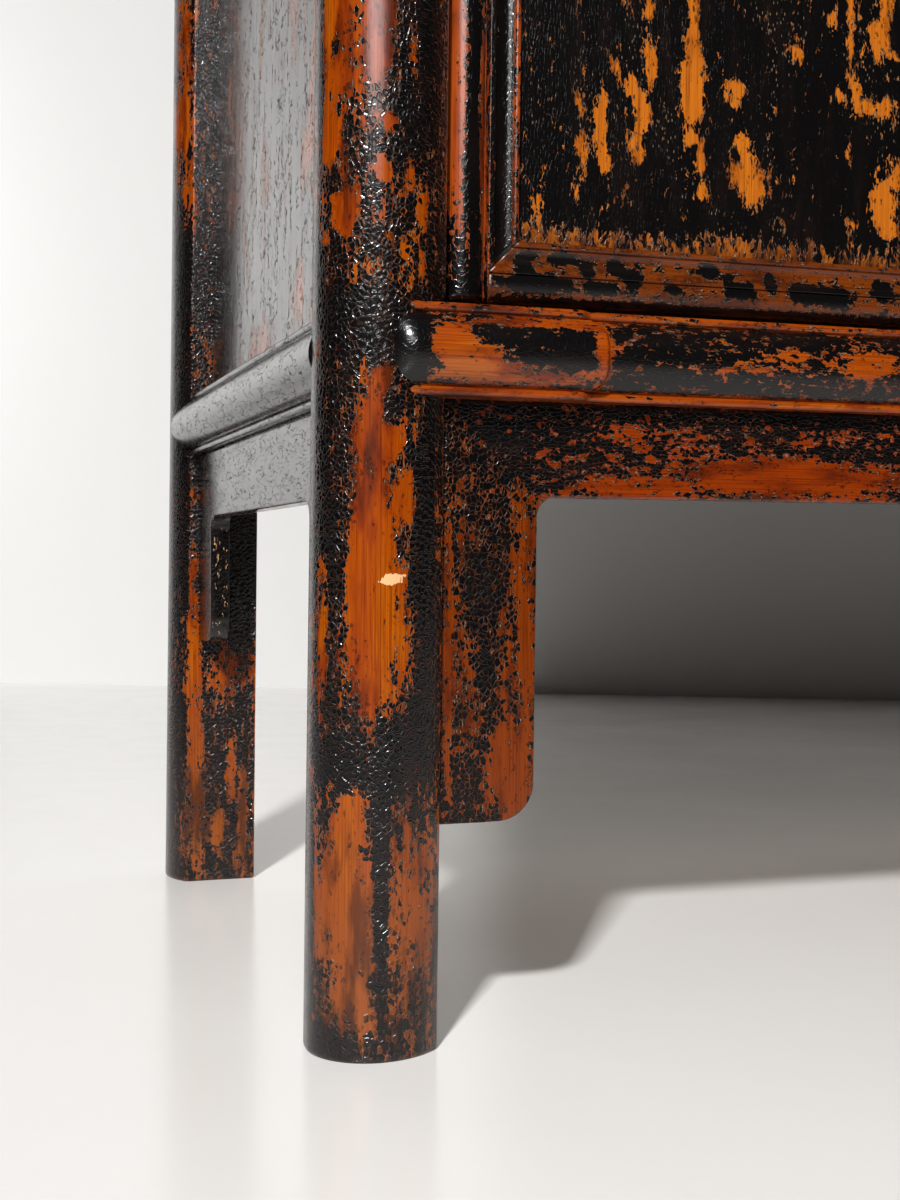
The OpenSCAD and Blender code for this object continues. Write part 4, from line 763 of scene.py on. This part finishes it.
def pivot_stile(name, node, body, mirror, spots):
    """Half-round, quirk and band swept up the leaning axis; each point ends on the mitre of the door rails."""
    ring = join(arc(0, STILE_R, STILE_R, 90, 336, 60), band_section(STILE_R), [[STILE_R + BAND_W, 2 * STILE_R]])
    profile, edge = soften(ring, 0.45, 130, pull=5)
    cut = mitre_cut(np.clip(profile[:, 0] - STILE_R, 0, BAND_W)[None, :])
    low, high = DOOR_Z0 + cut, DOOR_Z1 - cut
    z = low + (high - low) * np.linspace(0, 1, 380)[:, None]
    x = axis_x(z) + profile[None, :, 0]
    on_bead = profile[:, 0] > STILE_R + BAND_W - BAND_BEAD - 0.4
    return surface(name, grid(x, CROWN_Y + profile[None, :, 1], z), body, "stile", [node],
                   blobs_at(x, z, spots) + 0.55 * on_bead, 0.9 * edge, mirror=mirror)


def meeting_stile(name, node, body, mirror):
    """Flat stile with a rounded meeting edge, a quirk and the band, mitred to the door rails."""
    ring = join([[0, MEET_SET + 4], [0, 2 * STILE_R], [-(MEET_W + BAND_W), 2 * STILE_R]],
                (band_section(0) * (-1, 1) - (MEET_W, 0))[::-1],
                [[-MEET_W, BAND_SET + 2.4], [-MEET_W + 1.4, MEET_SET]],
                arc(-4, MEET_SET + 4, 4, 270, 360, 10)[:-1])
    profile, edge = soften(ring, 0.45, 120, pull=5)
    cut = mitre_cut(np.clip(-profile[:, 0] - MEET_W, 0, BAND_W)[None, :])
    z = DOOR_Z0 + cut + (DOOR_Z1 - DOOR_Z0 - 2 * cut) * np.linspace(0, 1, 300)[:, None]
    rings = grid(MEET_X + profile[None, :, 0], CROWN_Y + profile[None, :, 1], z)
    wear = blobs_at(rings[..., 0], z, [(-18, 1080, 16, 120, 0.35), (-12, 700, 12, 200, 0.2)])
    return surface(name, rings, body, "stile", [node], wear, 0.8 * edge, mirror=mirror)


def door_rail(name, node, body, mirror, top, spots):
    """Outer band rounded as a quarter ellipse and the moulded band, swept across and cut back on both mitres."""
    a = np.radians(np.linspace(0, 90, 24))
    nose = np.stack([0.5 + 7 * (1 - np.sin(a)), (DOOR_RAIL_H - 1.2) * (1 - np.cos(a))], 1)
    ring = join([[2 * STILE_R, 0]], nose, [[BAND_SET + 1.2, DOOR_RAIL_H - 0.5]],
                band_section(DOOR_RAIL_H)[:, ::-1], [[2 * STILE_R, DOOR_RAIL_H + BAND_W]])
    profile, edge = soften(ring, 0.45, 120, pull=5)
    h = profile[None, :, 1]
    z = DOOR_Z1 - h if top else DOOR_Z0 + h
    off = np.clip(h - DOOR_RAIL_H, 0, BAND_W)
    x0, x1 = axis_x(z) + STILE_R + off, MEET_BAND_X - off
    rings = grid(x0 + (x1 - x0) * np.linspace(0, 1, 240)[:, None], CROWN_Y + profile[None, :, 0], z)
    wear = blobs_at(rings[..., 0], rings[..., 2], spots)
    return surface(name, rings, body, "door_rail", [node], wear, 0.6 * edge, mirror=mirror)


def door_panel(name, node, body, mirror, spots):
    """Board in the frame's grooves, with slow ripples on its face, rubbed along its foot with a ragged edge.
    Its back is hardly worn."""
    z0, z1 = DOOR_Z0 + DOOR_RAIL_H + BAND_W - PANEL_EDGE, DOOR_Z1 - DOOR_RAIL_H - BAND_W + PANEL_EDGE
    z = np.linspace(z0, z1, 360)[:, None]
    n = 120
    x0, x1 = axis_x(z) + STILE_R + BAND_W - PANEL_EDGE, MEET_IN_X + PANEL_EDGE
    x = x0 + (x1 - x0) * np.linspace(0, 1, n)[None, :]
    y = PANEL_Y + PANEL_RIPPLE * ripple(x, z, 55, 3)
    x = np.concatenate([x, x[:, ::-1]], 1)
    y = np.concatenate([y, np.full((len(z), n), PANEL_Y + PANEL_T)], 1)
    rings = grid(x, y, z)
    foot = np.clip(1.3 - (z - z0 - PANEL_EDGE) / (9 + 2.5 * ripple(x, z, 7, 8)), 0, 1)
    front = np.arange(2 * n) < n
    wear = np.where(front, np.maximum(blobs_at(x, rings[..., 2], spots), 0.5 * foot ** 0.5), -0.25)
    return surface(name, rings, body, "panel", [node], wear, 0.0, foot * front, mirror=mirror)


PANEL_SPOTS = [
    (-344.5, 520, 3.3, 22, 0.9), (-345, 472.7, 5.8, 25, 1.1), (-345.9, 443.3, 3.6, 4.2, 0.6),
    (-339.2, 440, 1.2, 7, 0.6), (-340.8, 431.5, 1.9, 7, 0.7), (-338.7, 418.2, 2.8, 6.5, 0.95),
    (-369.2, 513.5, 3.3, 25.7, 0.6), (-367.8, 476.3, 2.7, 11.5, 0.9), (-369.6, 505, 1.6, 4.9, 0.5),
    (-381.3, 515.8, 3.5, 12.2, 0.6), (-322, 468.6, 6.5, 7.5, 0.95), (-316.1, 443.1, 4.8, 7.5, 0.8),
    (-315.1, 429.3, 11.3, 6.3, 0.8), (-311.1, 420.3, 8, 8.1, 1.0), (-377.8, 465.8, 3, 7.8, 0.8),
    (-372, 453.8, 4.9, 9.1, 0.8), (-375.7, 435, 4.3, 9.3, 0.9), (-387.5, 474.3, 2.4, 6.6, 0.6),
    (-393.9, 458.8, 2.4, 6.3, 0.8), (-395.7, 446, 3.7, 8.3, 0.8), (-392.6, 430.7, 4, 7.3, 0.8),
    (-405.3, 454.4, 2.6, 6.8, 0.7), (-405.1, 435, 3.7, 7.8, 0.6), (-403, 423.5, 2.6, 4.9, 0.7),
    (-411.6, 460.3, 2.1, 3.6, 0.5), (-408.7, 410.9, 2.1, 4.9, 0.7), (-381, 413, 3.2, 2.5, 0.6),
    (-427.3, 404.6, 3.4, 9.6, 0.6), (-286.4, 492.6, 4.1, 3.8, 0.8), (-254, 517.8, 2.7, 36, 0.85),
    (-250.3, 474.5, 3, 7.7, 0.6), (-237.4, 504.2, 5.4, 10.3, 0.8), (-233.2, 533.1, 3.9, 23.2, 0.9),
    (-266.1, 511.3, 2.9, 5.1, 0.6), (-233.4, 470.9, 4.2, 5.2, 0.7), (-260.4, 471.5, 3, 3.6, 0.7),
    (-243.9, 467.9, 7.5, 4.6, 0.7), (-227.7, 497.4, 3, 2.6, 0.7), (-253.5, 442, 3, 3.9, 0.6),
    (-234.4, 418.4, 7.5, 12.5, 1.0), (-223.9, 434, 4.9, 6.5, 0.9), (-253.8, 407.1, 3, 5.2, 0.7),
    (-294.9, 408.3, 2.9, 2.5, 0.7), (-283.3, 436.7, 3.2, 1.5, 0.6), (-228.2, 405, 7.6, 3.9, 0.7),
    (-196.7, 477, 9.3, 31.5, 0.6), (-163.3, 448.2, 7.9, 31.9, 0.6), (-120, 480, 24, 30, 0.3)]


def scattered_patches(low, high, count, seed):
    """Patches for the unseen part of a door panel: upright ovals at random places between two heights, fewer
    and smaller towards the top, with a fixed seed."""
    rng = np.random.default_rng(seed)
    up = rng.uniform(0, 1, count) ** 1.7
    across = rng.uniform(-425, -65, count)
    size = rng.uniform(2.0, 8.0, count) * (1.2 - 0.6 * up)
    return [(a, low + (high - low) * u, w, w * t, c) for a, u, w, t, c in
            zip(across, up, size, rng.uniform(1.6, 4.2, count), rng.uniform(0.6, 1.0, count))]


# Black patches on the door rail; the long flat spot at height 357.5 keeps a black band along the rail's foot, a
# painted shade.
DOOR_RAIL_SPOTS_AND_FOOT_SHADE = [
    (-428, 366, 20, 5, -0.8), (-436, 376, 5, 6, -0.7), (-416, 379, 7, 3.5, -0.75), (-403, 374, 3.5, 5, -0.8),
    (-388, 376, 5, 4.5, -0.8), (-379, 370, 5, 6, -0.85), (-396, 365, 9, 3, -0.75), (-357, 367, 3.5, 3, -0.8),
    (-336, 377, 5, 4, -0.8), (-326, 371, 3.5, 6, -0.85), (-317, 369, 6, 5, -0.8), (-302, 373, 4, 5, -0.85),
    (-284, 370, 9, 4.5, -0.8), (-266, 368, 10, 5.5, -0.85), (-330, 357.5, 160, 2.2, -0.8),
    (-236, 372, 6, 5, -0.8), (-200, 374, 12, 5, -0.8), (-140, 376, 16, 6, -0.8), (-90, 374, 14, 6, -0.8)]
STILE_SPOTS = [
    (-471.5, 462, 4.6, 62, 0.85), (-456.5, 435, 2.6, 54, 0.75), (-462.5, 440, 2.4, 90, -0.5),
    (-445, 440, 9, 80, -0.4), (-470, 620, 5, 50, 0.5), (-460, 700, 5, 60, 0.6), (-472, 900, 4, 110, 0.6),
    (-456, 1130, 4, 100, 0.5), (-468, 1400, 6, 90, 0.5)]

for side, way in SIDES:
    shift = 0 if side == "left" else 37
    swing = f"{side}_door"
    pivot_stile(f"{side}_half_round_stile", f"{side}_pivot_stile", swing, way, STILE_SPOTS)
    meeting_stile(f"{side}_closing_stile", f"{side}_meeting_stile", swing, way)
    door_rail(f"{side}_lower_door_rail", f"{side}_door_bottom_rail", swing, way, False,
              [(a + shift, b, c, d, e) for a, b, c, d, e in DOOR_RAIL_SPOTS_AND_FOOT_SHADE])
    door_rail(f"{side}_upper_door_rail", f"{side}_door_top_rail", swing, way, True, [(-250, 1800, 200, 8, -0.4)])
    patches = PANEL_SPOTS if side == "left" else scattered_patches(400, 560, 42, 5)
    door_panel(f"{side}_flaked_panel", f"{side}_door_panel", swing, way,
               patches + scattered_patches(560, 1760, 110, 1 + shift))


# ---------------- brass
def pull_drop(name, node, body, mirror):
    """Pear-shaped drop turned about its own axis from a smoothed outline, with an eye at its top."""
    outline = [[0.05, -PULL_LEN], [1.2, -PULL_LEN], [2.4, -PULL_LEN + 2], [1.4, -PULL_LEN + 4],
               [0.75 * PULL_R, -0.86 * PULL_LEN], [PULL_R, -0.74 * PULL_LEN], [0.93 * PULL_R, -0.64 * PULL_LEN],
               [0.55 * PULL_R, -0.46 * PULL_LEN], [1.9, -0.25 * PULL_LEN], [1.7, -6], [2.2, -3.2], [0.05, -3.0]]
    line, _ = soften(outline, 1.0, 70, closed=False, pull=2)
    a = np.linspace(0, 2 * np.pi, 40, endpoint=False)[None, :]
    r, z = np.maximum(line[:, :1], 0.02), line[:, 1:]
    rings = grid(PLATE_X + r * np.cos(a), PIN_Y + r * np.sin(a), PIN_Z + z)
    return surface(name, rings, body, "brass", [], mirror=mirror)


for side, way in SIDES:
    pull_drop(f"{side}_pear_drop", f"{side}_pull", f"{side}_pull_drop", way)

# ---------------- the part's own nodes that stay
for name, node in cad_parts.items():
    if node.hide_render:
        continue
    if name.endswith(("face_plate", "plate_nails", "pull_bracket", "_pull")):
        finish = "brass"
    elif name.startswith(("back_panel", "back_stretcher", "back_rail")):
        finish = "back"
    elif name == "cap_panel":
        finish = "cap"
    elif name.startswith("shelf_bearers"):
        finish = "inner_up"
    else:
        finish = "inner"
    node.data.materials.clear()
    node.data.materials.append(FINISH[finish])


# ---------------- floor, wall, light and camera
# Colour of the floor in front, out of sight: a painted shade that keeps it dark in the lacquer's reflections.
FRONT_PAINTED_SHADE = (0.22, 0.215, 0.21)


def stage_material(name, left, right, rough, brushed):
    """Painted floor or wall, from its left colour to its right one, and darker towards the front. On the floor
    the brighter right side is a painted light and the darker front a painted shade. Its back is clear, so that
    it hides nothing."""
    r = Recipe(name)
    cloud = r.noise(r.vec("SCALE", r.mm, scale=0.004), 4.0, 0.6)
    place = r.node("ShaderNodeSeparateXYZ", {0: r.mm})
    # Left to right colour: on the floor a painted light, brighter to the right; towards the front a painted
    # shade.
    colour = r.mix(r.step(place.outputs[0], -1150.0, -450.0), left, right)
    r.look("Base Color", r.mix(r.step(place.outputs[1], -1700.0, -750.0), FRONT_PAINTED_SHADE, colour))
    r.look("Roughness", r.step(cloud, 0.3, 0.7, rough, rough + 0.06))
    if brushed:
        r.bump(r.times(r.noise(r.vec("SCALE", r.mm, scale=0.03), 3.0, 0.5), 0.25), 0.35)
    clear = r.node("ShaderNodeBsdfTransparent").outputs[0]
    behind = r.node("ShaderNodeNewGeometry").outputs["Backfacing"]
    choice = r.node("ShaderNodeMixShader", {0: behind, 1: r.shader.outputs[0], 2: clear})
    r.put(next(n for n in r.tree.nodes if n.type == "OUTPUT_MATERIAL").inputs[0], choice.outputs[0])
    return r.mat


def stage_sheet(name, corners, material):
    """Flat sheet between four corners."""
    mesh = bpy.data.meshes.new(name)
    mesh.from_pydata(corners, [], [(0, 1, 2, 3)])
    mesh.materials.append(material)
    placed(name, mesh)


# The floor's grey left and near white right colours are a painted light.
stage_sheet("floor", [(-2.2, -2, 0), (4, -2, 0), (4, 5, 0), (-2.2, 5, 0)],
            stage_material("floor_paint_and_painted_light", (0.53, 0.52, 0.505), (0.93, 0.91, 0.88), 0.16, True))
WALL_PAINT = (0.79, 0.785, 0.77)
WALL_ENDS = [(x, 2.222 - 0.5755 * (x + 0.527)) for x in (-2.6, 3.4)]
stage_sheet("wall", [(*WALL_ENDS[0], 0), (*WALL_ENDS[1], 0), (*WALL_ENDS[1], 5), (*WALL_ENDS[0], 5)],
            stage_material("wall_paint", WALL_PAINT, WALL_PAINT, 0.7, False))

SKY_GIVES, SKY_SEEN = 0.015, 1.0  # strength of the plain white sky as light, and as the camera sees it
world = bpy.data.worlds.new("studio")
scene.world = world
world.use_nodes = True
tree = world.node_tree
background = tree.nodes["Background"]
background.inputs["Color"].default_value = (1, 1, 1, 1)
rays = tree.nodes.new("ShaderNodeLightPath")
strength = tree.nodes.new("ShaderNodeMix")
strength.inputs[2].default_value, strength.inputs[3].default_value = SKY_GIVES, SKY_SEEN
tree.links.new(rays.outputs["Is Camera Ray"], strength.inputs[0])
tree.links.new(strength.outputs[0], background.inputs["Strength"])


def softbox(name, place, aim, width, height, watts, spread=180):
    """Rectangular lamp at a place, turned to its aim."""
    light = bpy.data.lights.new(name, "AREA")
    light.shape, light.size, light.size_y, light.energy = "RECTANGLE", width, height, watts
    light.spread = math.radians(spread)
    lamp = placed(name, light)
    lamp.location = place
    lamp.rotation_mode = "QUATERNION"
    lamp.rotation_quaternion = (Vector(aim) - Vector(place)).to_track_quat("-Z", "Y")


softbox("key_softbox", (-2.77, -4.08, 3.61), (-0.45, -0.22, 0.20), 0.36, 0.36, 420)
softbox("low_softbox", (-1.73, -3.6, 1.9), (-0.5, -0.2, 0.45), 1.7, 0.95, 42)
softbox("wall_softbox", (-2.1, 1.5, 1.2), (-1.3, 2.67, 0.85), 0.5, 0.5, 5, 80)

CAMERA_PLACE = (-0.7134, -0.9604, 0.230)
YAW, PITCH, ROLL = math.radians(18.4), math.radians(1.25), math.radians(0.2)
ahead = Vector((math.sin(YAW) * math.cos(PITCH), math.cos(YAW) * math.cos(PITCH), -math.sin(PITCH)))
across = Vector((math.cos(YAW), -math.sin(YAW), 0))
upward = across.cross(ahead)
turned_across = across * math.cos(ROLL) + upward * math.sin(ROLL)
turned_up = -across * math.sin(ROLL) + upward * math.cos(ROLL)
camera = placed("camera", bpy.data.cameras.new("camera"))
camera.data.sensor_width, camera.data.lens = 36, 48
stand = Matrix((turned_across, turned_up, -ahead)).transposed().to_4x4()
stand.translation = Vector(CAMERA_PLACE)
camera.matrix_world = stand
scene.camera = camera
